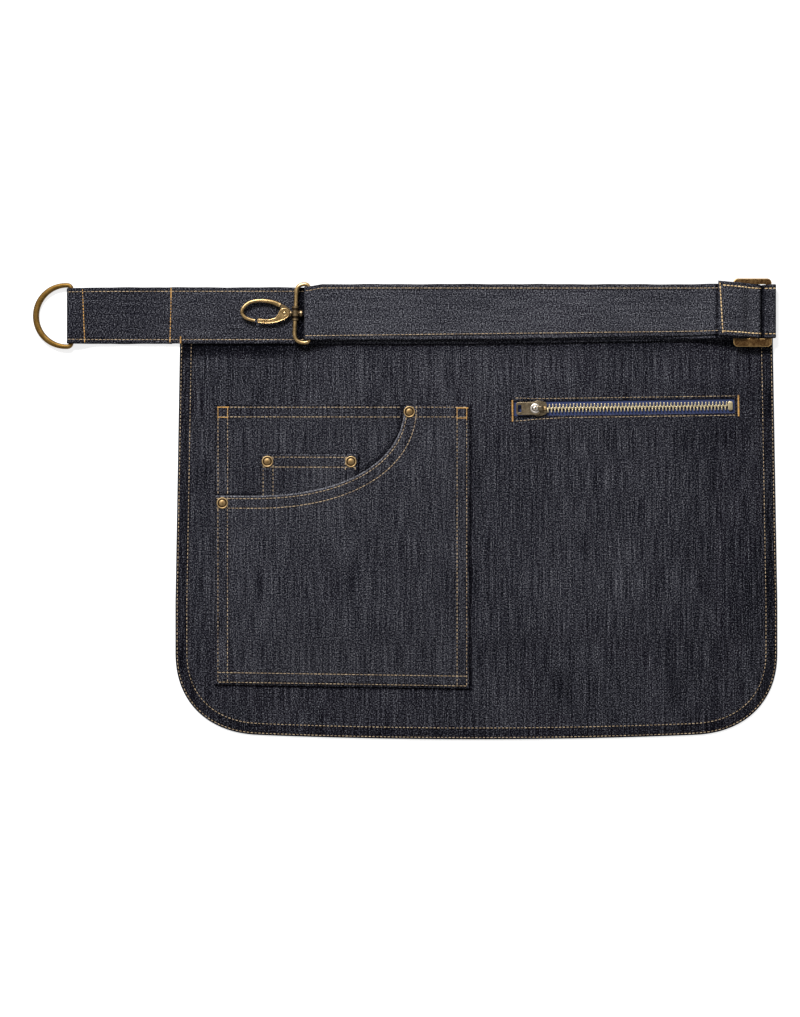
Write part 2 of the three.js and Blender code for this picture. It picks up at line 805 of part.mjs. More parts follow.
const coin_x = coin_left - pocket_left;
const coin_y = -pocket_top - coin_top;

function coinPocketGeometry() {
  return flatPatch(coin_x, coin_x + coin_width, coin_y - coin_height, coin_y, coin_low, patch);
}

// Rivets: a flanged cap with a low dome
const rivet_profile = [
  { out: 0, up: 0 },
  { out: 1, up: 0 },
  { out: 1, up: 0.3 },
  { out: 0.85, up: 0.53 },
  { out: 0.58, up: 0.53 },
  { out: 0.45, up: 0.85 },
  { out: 0, up: 1 },
];

function rivetGeometry() {
  const profile = rivet_profile.map(({ out, up }) => at(out * rivet_radius, up * rivet_height));
  return new THREE.LatheGeometry(profile, 16).rotateX(radians(90));
}

// Zip, in its own frame: x along the chain from the window's centre, z from the ground
function chainGeometry() {
  const side = (sign, shift) => {
    const points = [];
    for (let k = 0; k < teeth; k++) {
      const x = chain_start + (k + shift) * tooth_pitch;
      const half = tooth_width / 2;
      points.push(
        at(x - half, sign * chain_core), at(x - half, sign * tooth_reach),
        at(x + half, sign * tooth_reach), at(x + half, sign * chain_core),
      );
    }
    return points;
  };
  const outline = [...side(-1, 0.5 - tooth_stagger), ...side(1, 0.5 + tooth_stagger).reverse()];
  return plateOf(new THREE.Shape(outline), chain_thick, 0)
    .translate(0, 0, tape_top + gap + chain_thick / 2);
}

const slider_low = tape_top + gap;
const cap_low = zip_panel_top + gap;
const cap_top = cap_low + zip_cap_thick;
const zip_slider_x = chain_start - gap - zip_slider_length / 2;
const eye_swing = Math.SQRT1_2 * pull_thick;
const pull_z = cap_top + gap + eye_swing;
const bridge_x = zip_slider_x + bridge_shift;

function zipSliderGeometry() {
  const body_height = cap_low - slider_low + body_sink;
  const body = box(zip_slider_length, zip_slider_width, body_height)
    .translate(zip_slider_x, 0, slider_low + body_height / 2);
  const cap_outline = roundedRectangle(zip_slider_length, zip_slider_cap, zip_cap_corner);
  const cap = plateOf(cap_outline, zip_cap_thick, zip_cap_edge)
    .translate(zip_slider_x, 0, cap_low + zip_cap_thick / 2);
  const bridge_high = pull_z + eye_swing + gap + bridge_top;
  const bridge = box(bridge_length, bridge_width, bridge_high - cap_top + bridge_sink)
    .translate(bridge_x, 0, (bridge_high + cap_top - bridge_sink) / 2);
  const arch_height = bridge_high - bridge_top - cap_top;
  const arch = box(bridge_length - 2 * bridge_wall, 2 * bridge_width, arch_height)
    .translate(bridge_x, 0, cap_top + arch_height / 2);
  return join(body, cap, cut(bridge, arch));
}

// The pull tab lies to the left of its hinge bar, which is on the local Y axis.
function pullGeometry() {
  const shape = roundedRectangle(pull_length, pull_width, pull_corner);
  const centre = pull_thick / 2 - pull_length / 2;
  const eye = roundedRectangle(pull_eye, bridge_width + 1, eye_corner).getPoints(2)
    .map((p) => at(p.x - pull_thick / 2 - pull_eye / 2 - centre, p.y));
  const slot = roundedRectangle(pull_slot_width, pull_slot_length, pull_slot_corner).getPoints(2)
    .map((p) => at(p.x + pull_slot_inset - pull_length / 2, p.y));
  for (const points of [eye, slot]) {
    shape.holes.push(new THREE.Path(tidy(points).reverse()));
  }
  return plateOf(shape, pull_thick, 0).translate(centre, 0, 0);
}

// Materials
const denim = { color: 0x2d2f3a, roughness: 0.95, metalness: 0 };
const strap_denim = { color: 0x30323b, roughness: 0.95, metalness: 0 };
const tape_cloth = { color: 0x1f3468, roughness: 0.9, metalness: 0 };
const antique_brass = { color: 0x7a5a24, roughness: 0.45, metalness: 1 };
const light_brass = { color: 0xb8975a, roughness: 0.35, metalness: 1 };
const tooth_brass = { color: 0xc9b486, roughness: 0.35, metalness: 1 };

function piece(name, geometry, finish, parent) {
  const mesh = new THREE.Mesh(geometry, new THREE.MeshStandardMaterial(finish));
  mesh.name = name;
  parent.add(mesh);
  return mesh;
}

function frameAt(x, y, z, parent) {
  const frame = new THREE.Group();
  frame.position.set(x, y, z);
  parent.add(frame);
  return frame;
}

// Assembly
const apron = new THREE.Group();

piece('body_panel', cut(panelGeometry(), windowTool()), denim, apron);
piece('waistband', waistbandGeometry(), strap_denim, apron);
piece('waistband_tail', tailGeometry(), strap_denim, apron);
piece('adjuster_strap', adjusterGeometry(), strap_denim, apron);

const ring_frame = frameAt(ring_bar.x, ring_rise, ring_bar.y, apron);
const ring_drop = ring_bar.y - ring_wire / 2 - gap / 2;
ring_frame.rotation.y = -Math.asin(ring_drop / ring_reach);
piece('d_ring', ringGeometry(), antique_brass, ring_frame);

const slider_frame = frameAt(slider_x, slider_rise, plate_z, apron);
piece('slider_buckle', sliderGeometry(), antique_brass, slider_frame);

const clasp_frame = frameAt(loop_bar.x, clasp_rise, loop_bar.y, apron);
piece('clasp_loop', loopGeometry(), light_brass, clasp_frame);
const hook_frame = frameAt(boss_x, 0, 0, clasp_frame);
piece('clasp_hook', hookGeometry(), light_brass, hook_frame);
piece('clasp_gate', gateGeometry(), light_brass, hook_frame);

piece('inner_pocket', innerPocketGeometry(), denim, apron);
piece('coin_pocket', coinPocketGeometry(), denim, apron);
piece('outer_pocket', outerPocketGeometry(), denim, apron);

// Rivets 2 and 3 sit on the coin pocket, 1 and 4 on the outer pocket beside its mouth.
const rivet_places = [
  { x: -pocket_left + rivet_inset, y: -pocket_top - mouth_down - rivet_inset, lifted: true },
  { x: coin_x + rivet_inset, y: coin_y - rivet_inset, lifted: false },
  { x: coin_x + coin_width - rivet_inset, y: coin_y - rivet_inset, lifted: false },
  { x: -pocket_left + mouth_across + 0.7 * rivet_inset, y: -pocket_top - rivet_inset, lifted: true },
];
rivet_places.forEach(({ x, y, lifted }, k) => {
  const below = [-1, 0, 1].flatMap((a) => [-1, 0, 1].map(
    (b) => pocketLift(x + a * rivet_radius, y + b * rivet_radius),
  ));
  const height = coin_low + patch + gap + (lifted ? Math.max(...below) : 0);
  const seat = frameAt(x, y - pocketDrop(x, y), height, apron);
  piece(`rivet_${k + 1}`, rivetGeometry(), light_brass, seat);
});

const zip_frame = frameAt(zip_x, zip_y, 0, apron);
zip_frame.rotation.z = radians(zip_tilt);
const tape_geometry = box(tape_length, tape_width, tape).translate(0, 0, bag_lift + tape / 2);
piece('zip_tape', tape_geometry, tape_cloth, zip_frame);
piece('zip_chain', chainGeometry(), tooth_brass, zip_frame);
piece('zip_slider', zipSliderGeometry(), antique_brass, zip_frame);
const stop_geometry = box(stop_length, stop_width, chain_thick)
  .translate(chain_end + gap + stop_length / 2, 0, slider_low + chain_thick / 2);
piece('zip_stop', stop_geometry, tooth_brass, zip_frame);
const pull_frame = frameAt(bridge_x, 0, pull_z, zip_frame);
pull_frame.rotation.y = -radians(pull_droop);
piece('zip_pull', pullGeometry(), antique_brass, pull_frame);

const bag_geometry = box(bag_length, bag_height, bag).translate(zip_x, bag_centre_y, bag / 2);
piece('zip_pocket_bag', bag_geometry, denim, apron);

apron.updateMatrixWorld(true);
const extent = new THREE.Box3().setFromObject(apron, true);
const middle = extent.getCenter(new THREE.Vector3());
apron.position.set(-middle.x, -middle.y, -extent.min.z);
apron.updateMatrixWorld(true);

export default apron;
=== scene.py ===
"""A dark denim waist apron that lies flat on a pale floor, seen from straight above."""

import bmesh
import bpy
import numpy as np
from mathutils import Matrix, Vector


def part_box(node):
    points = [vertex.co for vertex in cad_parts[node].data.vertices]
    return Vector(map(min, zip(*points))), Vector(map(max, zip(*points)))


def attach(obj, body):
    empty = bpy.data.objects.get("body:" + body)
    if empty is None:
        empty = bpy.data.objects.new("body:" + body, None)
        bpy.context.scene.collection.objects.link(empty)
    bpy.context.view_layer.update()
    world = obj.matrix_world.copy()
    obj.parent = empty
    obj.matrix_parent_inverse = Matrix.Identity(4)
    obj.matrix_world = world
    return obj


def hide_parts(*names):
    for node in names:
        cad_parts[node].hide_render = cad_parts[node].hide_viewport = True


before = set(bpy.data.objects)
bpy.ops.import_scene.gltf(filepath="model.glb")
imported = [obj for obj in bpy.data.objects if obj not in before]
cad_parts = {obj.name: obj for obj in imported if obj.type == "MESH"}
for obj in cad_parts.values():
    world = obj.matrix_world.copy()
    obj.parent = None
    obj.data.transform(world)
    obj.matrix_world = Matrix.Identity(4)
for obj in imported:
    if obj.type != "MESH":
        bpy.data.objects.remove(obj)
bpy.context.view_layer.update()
random = np.random.default_rng(7)

# Places taken from the frame, in metres
panel_low, panel_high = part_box("body_panel")
band_low, band_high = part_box("waistband")
tail_low, tail_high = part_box("waistband_tail")
strap_low, strap_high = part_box("adjuster_strap")
slider_low, slider_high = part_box("slider_buckle")
pocket_low, pocket_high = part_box("outer_pocket")
inner_low, inner_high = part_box("inner_pocket")
coin_low, coin_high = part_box("coin_pocket")
bag_low, bag_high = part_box("zip_pocket_bag")

# Cloth
cloth = 0.0011
hem_fold = 0.0006
hem_width = 0.010
patch = 0.001
strap = 0.0014
gap = 0.0003
cloth_step = 0.0023

# Panel
centre_x = (panel_low.x + panel_high.x) / 2
band_width = 0.0452
centre_y = band_low.y + band_width / 2
panel_top_width = 0.4748
panel_bottom_half = (panel_high.x - panel_low.x) / 2
panel_drop = centre_y - panel_low.y
panel_tuck = 0.020
corner_across = 0.068
corner_up = 0.064
corner_squareness = 2.3
bottom_bow = 0.0068
bow_start = 0.110
bow_run = 0.120
side_taper = 0.207
ripple_height = 0.0015
ripple_length = 0.120
ripple_left = 0.012
ripple_down = 0.100
ripple_fade = 0.050

# Waistband and strap
band_left = centre_x - tail_low.x
band_right = strap_high.x - centre_x
tail_join = 0.244
joint_tuck = 0.0006
clasp_reach = 0.1376
sewn_end = 0.1924
fold_run = 0.022
slider_run = 0.036

# Ring, slider and clasp
ring_wire = 0.0037
ring_wide_wire = 0.005
ring_reach = 0.0285
ring_corner = 0.003
ring_rise = -0.0004
ring_side_gap = 0.0005
slider_x = (slider_low.x + slider_high.x) / 2 - centre_x
slider_across = slider_high.x - slider_low.x
slider_tall = slider_high.y - slider_low.y
slider_slot = 0.0462
slider_bar = 0.0044
slider_plate = 0.0016
slider_corner = 0.0036
loop_wire = 0.0034
loop_reach_top = 0.0094
loop_reach_bottom = 0.0116
loop_corner = 0.0064
boss_radius = 0.0029
boss_length = 0.0117
stem_radius = 0.0013
stem_head = 0.0028
hook_thick = 0.0028
hook_band = 0.0028
hook_length = 0.0441
clasp_rise = 0.00136

# Pockets
pocket_left = 0.2092
pocket_width = 0.2038
pocket_top = 0.071
pocket_height = 0.2246
pocket_slope = 0.016
mouth_across = 0.1513
mouth_down = 0.073
mouth_flat = 0.028
mouth_squareness = 2.25
pocket_puff = 0.0056
puff_run = 0.060
inner_inset = 0.0024
coin_left = 0.036
coin_width = 0.0788
coin_top = 0.0396
coin_height = 0.087
rivet_radius = 0.0045
rivet_height = 0.0017
rivet_inset = 0.006

# Zip
zip_x = 0.1192
zip_y = -0.0734
zip_tilt = np.radians(0.8)
window_length = 0.1784
window_height = 0.0116
tape = 0.0008
tape_length = 0.186
tape_width = 0.025
bag = 0.001
bag_length = 0.190
bag_height = 0.190
bag_above = 0.016
bag_margin = 0.004
bag_fall = 0.016
tape_end_margin = 0.002
tape_margin = 0.005
tape_fall = 0.014
tooth_pitch = 0.00278
tooth_width = 0.0015
tooth_reach = 0.0034
tooth_stagger = 0.2
chain_thick = 0.002
chain_length = 0.1444
chain_end = 0.0816

# Stitches
stitch_pitch = 0.00304
stitch_length = 0.0022
long_stitch = 0.0027
thread = 0.00031
near_row = 0.0015
far_row = 0.0092
strap_row = 0.0033
pocket_near = 0.0024
pocket_far = 0.0101

# Heights
band_mid = cloth + hem_fold + gap + strap / 2
band_top = band_mid + strap / 2
tail_mid = strap + gap + strap / 2
pitch = strap + gap
return_mid = band_top + gap + strap / 2
upper_mid = return_mid + pitch
bag_lift = bag + gap
tape_lift = tape + gap
tape_top = bag + gap + tape
zip_panel_top = bag_lift + tape_lift + cloth
coin_level = coin_low.z


def ease(s):
    s = np.clip(s, 0, 1)
    return s * s * (3 - 2 * s)


def bump(s, place, width):
    return np.exp(-(((s - place) / width) ** 2))


# Materials
class Nodes:
    """A material's node tree, with short calls for the nodes that it uses."""

    def __init__(self, name):
        self.material = bpy.data.materials.new(name)
        self.material.use_nodes = True
        self.tree = self.material.node_tree
        self.shader = self.tree.nodes["Principled BSDF"]

    def put(self, socket, value):
        if isinstance(value, bpy.types.NodeSocket):
            self.tree.links.new(value, socket)
        else:
            socket.default_value = value

    def add(self, kind, inputs=None, output=0, **settings):
        node = self.tree.nodes.new("ShaderNode" + kind)
        for key, value in settings.items():
            setattr(node, key, value)
        for key, value in (inputs or {}).items():
            self.put(node.inputs[key], value)
        return node.outputs[output]

    def math(self, operation, a, b=0.0, c=0.0):
        return self.add("Math", {0: a, 1: b, 2: c}, operation=operation)

    def scaled(self, vector, scale, offset=(0, 0, 0)):
        return self.add("Mapping", {"Vector": vector, "Scale": scale, "Location": offset})

    def noise(self, vector, scale, detail=2.0, roughness=0.5):
        inputs = {"Vector": vector, "Scale": scale, "Detail": detail, "Roughness": roughness}
        return self.add("TexNoise", inputs)

    def ramp(self, value, stops):
        node = self.tree.nodes.new("ShaderNodeValToRGB")
        self.put(node.inputs[0], value)
        elements = node.color_ramp.elements
        while len(elements) < len(stops):
            elements.new(0.5)
        for element, (place, colour) in zip(elements, stops):
            element.position = place
            element.color = (*colour, 1)
        return node.outputs[0]

    def mix(self, share, a, b, blend="MIX"):
        node = self.tree.nodes.new("ShaderNodeMix")
        node.data_type = "RGBA"
        node.blend_type = blend
        for key, value in ((0, share), (6, a), (7, b)):
            if isinstance(value, tuple):
                value = (*value, 1)
            self.put(node.inputs[key], value)
        return node.outputs[2]

    def near(self, value, place, width):
        """One at a place, and falling to none over about this width on both sides."""
        away = self.math("DIVIDE", self.math("SUBTRACT", value, place), width)
        return self.math("POWER", 2.718, self.math("MULTIPLY", self.math("MULTIPLY", away, away), -1.0))

    def field(self, name, output="Fac"):
        return self.add("Attribute", output=output, attribute_name=name)

    def surface(self, height, strength, distance):
        inputs = {"Height": height, "Strength": strength, "Distance": distance}
        self.put(self.shader.inputs["Normal"], self.add("Bump", inputs))


def pocket_painted_shadows(n, across, along):
    """Painted shadow lines on the panel outside the pocket's right and bottom edges."""
    right = n.math("SUBTRACT", across, (pocket_width - pocket_left) * 1000)
    slope = n.math("MULTIPLY", n.math("ADD", across, pocket_left * 1000), pocket_slope)
    below = n.math("SUBTRACT", -(pocket_top + pocket_height) * 1000, n.math("ADD", along, slope))
    beside = n.math("MULTIPLY", n.near(right, 0.7, 1.2), n.math("LESS_THAN", along, -pocket_top * 1000))
    beside = n.math("MULTIPLY", beside, n.math("LESS_THAN", below, 1.6))
    under = n.math("MULTIPLY", n.near(below, 0.6, 1.1), n.math("LESS_THAN", right, 1.6))
    under = n.math("MULTIPLY", under, n.math("GREATER_THAN", across, -pocket_left * 1000))
    return n.math("MULTIPLY", n.math("MAXIMUM", beside, under), 0.15)


def mouth_painted_shadows(n, across, along):
    """Painted shadow lines on the inner pocket along the outer pocket's mouth, beside the coin pocket and above it."""
    start = (mouth_flat - pocket_left) * 1000
    reach = (mouth_across - mouth_flat) * 1000
    u = n.math("MAXIMUM", n.math("DIVIDE", n.math("SUBTRACT", across, start), reach), 0.0)
    w = n.math("DIVIDE", n.math("SUBTRACT", -pocket_top * 1000, along), mouth_down * 1000)
    w = n.math("MAXIMUM", w, 0.0)
    total = n.math("ADD", n.math("POWER", u, mouth_squareness), n.math("POWER", w, mouth_squareness))
    away = n.math("MULTIPLY", n.math("SUBTRACT", n.math("POWER", total, 1 / mouth_squareness), 1.0), 100.0)
    mouth = n.near(away, 0.0, 2.6)
    coin_right = (coin_left - pocket_left + coin_width) * 1000
    coin_high = -(pocket_top + coin_top) * 1000
    beside = n.near(n.math("SUBTRACT", across, coin_right), 0.7, 1.0)
    beside = n.math("MULTIPLY", beside, n.math("LESS_THAN", along, coin_high))
    above = n.near(n.math("SUBTRACT", along, coin_high), 0.4, 0.8)
    above = n.math("MULTIPLY", above, n.math("LESS_THAN", across, coin_right))
    above = n.math("MULTIPLY", above, n.math("GREATER_THAN", across, (coin_left - pocket_left) * 1000))
    lines_here = n.math("MAXIMUM", n.math("MULTIPLY", mouth, 0.16), n.math("MULTIPLY", beside, 0.15))
    return n.math("MAXIMUM", lines_here, n.math("MULTIPLY", above, 0.08))


def strap_painted_shadows(n, across, along):
    """Painted shadow lines on the strap beside the sewn end, in the slider's groove and at the clasp's fold."""
    place = n.add("SeparateXYZ", {0: n.scaled(n.add("TexCoord", output="Object"), (1000, 1000, 1000))})
    x = place.node.outputs[0]
    high = n.math("GREATER_THAN", place.node.outputs[2], (band_top + gap) * 1000)
    end = n.math("MULTIPLY", n.near(x, (sewn_end + centre_x) * 1000 - 0.9, 1.1), 0.17)
    end = n.math("MULTIPLY", end, high)
    start = (slider_x + outer_bar + centre_x) * 1000
    groove = n.math("MULTIPLY", n.near(x, start - 3.3, 1.9), 0.24)
    groove = n.math("MAXIMUM", groove, n.math("MULTIPLY", n.near(x, start - 2.0, 5.0), 0.08))
    groove = n.math("MULTIPLY", groove, n.math("GREATER_THAN", x, start - 4.7))
    groove = n.math("MULTIPLY", groove, high)
    fold = n.math("MULTIPLY", n.near(x, (centre_x - clasp_reach) * 1000 - 2.4, 3.2), 0.24)
    fold = n.math("MULTIPLY", fold, n.math("SUBTRACT", 1.0, high))
    return n.math("MAXIMUM", n.math("MAXIMUM", end, groove), fold)


def denim(name, shade, streaks, flecks, offset, rows=(), painted_shadows=None):
    """Raw denim. The field weave holds the place across and along the warp, edge the distance in.

    Lightness is summed as the eye sees it, from 0 to 1, and the ramp turns it into colour."""
    n = Nodes(name)
    weave = n.scaled(n.field("weave", "Vector"), (1000, 1000, 1000), offset)
    edge = n.math("MULTIPLY", n.field("edge"), 1000)
    yarn = n.noise(n.scaled(weave, (1.5, 0.035, 1)), 1.0, 1.0, 0.5)
    slub = n.noise(n.scaled(weave, (0.42, 0.012, 1)), 1.0, 2.0, 0.5)
    speck = n.noise(n.scaled(weave, (1.15, 0.95, 1)), 1.0, 1.0, 0.6)
    broad = n.noise(n.scaled(weave, (0.018, 0.012, 1)), 1.0, 1.0, 0.4)
    split = n.add("SeparateXYZ", {0: weave})
    across = split.node.outputs[0]
    along = split.node.outputs[1]
    diagonal = n.math("MULTIPLY", n.math("ADD", across, n.math("MULTIPLY", along, 0.9)), 5.2)
    twill = n.math("SINE", diagonal)
    tone = n.math("ADD", n.field("tone"), shade)
    for layer, amount in ((yarn, streaks), (slub, streaks * 0.45), (speck, flecks), (broad, 0.09)):
        tone = n.math("MULTIPLY_ADD", n.math("SUBTRACT", layer, 0.5), amount, tone)
    tone = n.math("MULTIPLY_ADD", twill, 0.012, tone)
    # Painted shadow lines, given by the caller, darken the cloth.
    if painted_shadows:
        tone = n.math("SUBTRACT", tone, painted_shadows(n, n.math("SUBTRACT", across, offset[0]), along))
    groove = None
    for row in rows:
        away = n.math("DIVIDE", n.math("SUBTRACT", edge, row * 1000), 0.8)
        one = n.math("POWER", 2.718, n.math("MULTIPLY", n.math("MULTIPLY", away, away), -1.0))
        groove = one if groove is None else n.math("ADD", groove, one)
    height = n.math("MULTIPLY_ADD", twill, 0.35, n.math("MULTIPLY", speck, 1.2))
    # The stitch rows sink the cloth and the cloth is darkened along them: painted shade in the grooves.
    if groove is not None:
        tone = n.math("MULTIPLY_ADD", groove, -0.055, tone)
        height = n.math("MULTIPLY_ADD", groove, -2.2, height)
    colour = n.ramp(tone, denim_ramp)
    n.put(n.shader.inputs["Base Color"], colour)
    n.put(n.shader.inputs["Roughness"], n.math("MULTIPLY_ADD", speck, 0.1, 0.85))
    n.shader.inputs["Specular IOR Level"].default_value = 0.02
    n.surface(height, 0.3, 0.0002)
    return n.material


def brass(name, dark, middle, bright, roughness, brush, wear=0.5):
    """Antiqued brass: dark in its hollows and bright where hands rub it. The field rim marks a bevelled edge and
    lightens it: edge wear and a painted highlight.
    """
    n = Nodes(name)
    place = n.scaled(n.add("TexCoord", output="Object"), (1000, 1000, 1000))
    cloudy = n.noise(place, 0.28, 3.0, 0.6)
    fine = n.noise(n.scaled(place, brush), 1.6, 3.0, 0.6)
    pitted = n.noise(place, 3.5, 2.0, 0.6)
    worn = n.add("NewGeometry", output="Pointiness")
    worn = n.math("MULTIPLY", n.math("SUBTRACT", worn, 0.5), 9.0 * wear)
    tone = n.math("MULTIPLY_ADD", cloudy, 0.5, n.math("MULTIPLY", fine, 0.35))
    tone = n.math("ADD", tone, worn)
    tone = n.math("MULTIPLY_ADD", n.field("rim"), 0.45, tone)
    colour = n.ramp(tone, [(0.18, dark), (0.45, middle), (0.85, bright)])
    n.put(n.shader.inputs["Base Color"], colour)
    n.shader.inputs["Metallic"].default_value = 1.0
    n.put(n.shader.inputs["Roughness"], n.math("MULTIPLY_ADD", fine, 0.25, roughness - 0.1))
    n.surface(n.math("MULTIPLY_ADD", fine, 0.6, n.math("MULTIPLY", pitted, 0.4)), 0.25, 0.00008)
    return n.material


def thread_cloth(name, dark, bright, ridge):
    n = Nodes(name)
    place = n.scaled(n.add("TexCoord", output="Object"), (1000, 1000, 1000))
    twist = n.noise(place, 1.4, 2.0, 0.5)
    wide = n.noise(place, 0.06, 1.0, 0.5)
    tone = n.math("MULTIPLY_ADD", n.field("shade"), 0.5, n.math("MULTIPLY", twist, 0.35))
    tone = n.math("MULTIPLY_ADD", n.math("SUBTRACT", wide, 0.5), 0.5, tone)
    n.put(n.shader.inputs["Base Color"], n.ramp(tone, [(0.1, dark), (0.8, bright)]))
    n.put(n.shader.inputs["Roughness"], n.math("MULTIPLY_ADD", twist, 0.2, 0.55))
    n.shader.inputs["Sheen Weight"].default_value = 0.1
    split = n.add("SeparateXYZ", {0: place})
    lines = n.math("ADD", split.node.outputs[0], split.node.outputs[1])
    n.surface(n.math("SINE", n.math("MULTIPLY", lines, ridge)), 0.3, 0.00008)
    return n.material


def woven_tape(name):
    n = Nodes(name)
    place = n.scaled(n.field("weave", "Vector"), (1000, 1000, 1000))
    split = n.add("SeparateXYZ", {0: place})
    across = n.math("ABSOLUTE", split.node.outputs[1])
    along = split.node.outputs[0]
    bone = n.math("SINE", n.math("MULTIPLY", n.math("ADD", along, across), 7.0))
    grain = n.noise(place, 2.0, 2.0, 0.6)
    tone = n.math("MULTIPLY_ADD", bone, 0.15, n.math("MULTIPLY", grain, 0.8))
    colour = n.ramp(tone, [(0.15, (0.003, 0.007, 0.030)), (0.5, (0.009, 0.023, 0.100)), (0.9, (0.028, 0.060, 0.22))])
    n.put(n.shader.inputs["Base Color"], colour)
    n.put(n.shader.inputs["Roughness"], n.math("MULTIPLY_ADD", grain, 0.2, 0.65))
    n.shader.inputs["Sheen Weight"].default_value = 0.1
    n.surface(n.math("MULTIPLY_ADD", bone, 0.5, grain), 0.4, 0.00015)
    return n.material


def floor_paper():
    n = Nodes("pale_paper")
    place = n.add("TexCoord", output="Object")
    grain = n.noise(place, 900.0, 3.0, 0.6)
    n.put(n.shader.inputs["Base Color"], n.ramp(grain, [(0.3, (0.35, 0.35, 0.35)), (0.7, (0.38, 0.38, 0.38))]))
    n.shader.inputs["Emission Color"].default_value = (1, 1, 1, 1)
    n.shader.inputs["Emission Strength"].default_value = 0.75
    n.put(n.shader.inputs["Roughness"], n.math("MULTIPLY_ADD", grain, 0.1, 0.85))
    n.surface(grain, 0.05, 0.0001)
    return n.material


# Lightness as seen, then the colour that gives it
denim_ramp = [
    (0.0, (0.0010, 0.0010, 0.0019)), (0.10, (0.0062, 0.0062, 0.0100)), (0.19, (0.0200, 0.0200, 0.0262)),
    (0.30, (0.0490, 0.0495, 0.0590)), (0.45, (0.1150, 0.1160, 0.1300)), (0.60, (0.2100, 0.2120, 0.2300)),
]
cloth_rows = (near_row, far_row)
pocket_rows = (pocket_near, pocket_far)
outer_bar = slider_across / 2 - slider_bar
panel_denim = denim("panel_denim", 0.138, 0.50, 1.36, (0, 0, 0), cloth_rows, pocket_painted_shadows)
pocket_denim = denim("pocket_denim", 0.165, 0.45, 1.36, (313, 0, 9), pocket_rows)
inner_denim = denim("inner_denim", 0.157, 0.47, 1.36, (731, 0, 5), pocket_rows, mouth_painted_shadows)
band_denim = denim("band_denim", 0.184, 0.26, 1.40, (97, 20, 3), (strap_row,), strap_painted_shadows)
bag_denim = denim("bag_denim", 0.14, 0.10, 0.30, (411, 60, 7))
blue_tape = woven_tape("blue_tape")
tan_thread = thread_cloth("tan_thread", (0.15, 0.10, 0.055), (0.55, 0.41, 0.25), 9.0)
bold_thread = thread_cloth("bold_thread", (0.30, 0.18, 0.07), (0.86, 0.64, 0.34), 7.0)
gold_thread = thread_cloth("gold_thread", (0.24, 0.12, 0.025), (0.66, 0.36, 0.09), 9.0)
ring_brass = brass("ring_brass", (0.042, 0.023, 0.006), (0.118, 0.064, 0.015), (0.27, 0.165, 0.05), 0.5, (1, 1, 1))
old_brass = brass("old_brass", (0.018, 0.009, 0.004), (0.066, 0.032, 0.012), (0.48, 0.31, 0.13), 0.46, (1, 1, 1), 0.4)
pale_brass = brass("pale_brass", (0.035, 0.021, 0.009), (0.17, 0.108, 0.043), (0.66, 0.46, 0.22), 0.35, (1, 1, 1), 0.8)
# A darker copy of the clasp's brass for the swivel's neck, its boss and the zip button's centre, which lie in shade:
# painted shade.
painted_shade_brass = brass("painted_shade_brass", (0.015, 0.01, 0.006), (0.06, 0.04, 0.022), (0.25, 0.18, 0.1), 0.4, (1, 1, 1), 0.6)
rivet_brass = brass("rivet_brass", (0.03, 0.015, 0.006), (0.19, 0.115, 0.046), (0.52, 0.37, 0.19), 0.50, (1, 1, 1), 0.9)
tooth_brass = brass("tooth_brass", (0.06, 0.045, 0.02), (0.32, 0.25, 0.13), (0.78, 0.66, 0.42), 0.36, (1, 1, 1), 0.7)
pull_brass = brass("pull_brass", (0.03, 0.023, 0.014), (0.115, 0.088, 0.055), (0.38, 0.30, 0.20), 0.4, (1, 1, 1), 0.6)
worn_nickel = brass("worn_nickel", (0.22, 0.19, 0.16), (0.62, 0.56, 0.5), (0.95, 0.9, 0.84), 0.32, (1, 1, 1), 0.7)


# Meshes
def make(name, vertices, faces, material, body, slot, replaced=(), fields=None, flat=False):
    mesh = bpy.data.meshes.new(name)
    mesh.from_pydata(np.asarray(vertices).tolist(), [], [list(map(int, f)) for f in faces])
    for key, values in (fields or {}).items():
        values = np.asarray(values, np.float32)
        wide = values.ndim == 2
        attribute = mesh.attributes.new(key, "FLOAT_VECTOR" if wide else "FLOAT", "POINT")
        attribute.data.foreach_set("vector" if wide else "value", values.ravel())
    mesh.polygons.foreach_set("use_smooth", [not flat] * len(mesh.polygons))
    mesh.materials.append(material)
    mesh.update()
    piece = bpy.data.objects.new(name, mesh)
    bpy.context.scene.collection.objects.link(piece)
    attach(piece, body)
    if replaced:
        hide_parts(*replaced)
    return piece


def segment_distance(points, line):
    """How far each point is from a line of joined segments."""
    start, end = line[:-1], line[1:]
    along = end - start
    square = np.maximum((along**2).sum(1), 1e-18)
    best = np.full(len(points), np.inf)
    for first in range(0, len(points), 4000):
        some = points[first : first + 4000, None, :] - start[None]
        share = np.clip((some * along[None]).sum(2) / square[None], 0, 1)
        away = some - share[..., None] * along[None]
        best[first : first + 4000] = np.sqrt((away**2).sum(2)).min(1)
    return best


def rounded(distance, radius):
    """The share of a fold's full thickness at this distance from its edge."""
    s = np.clip(distance / radius, 0, 1)
    return np.maximum(np.sqrt(1 - (1 - s) ** 2), 0.12)


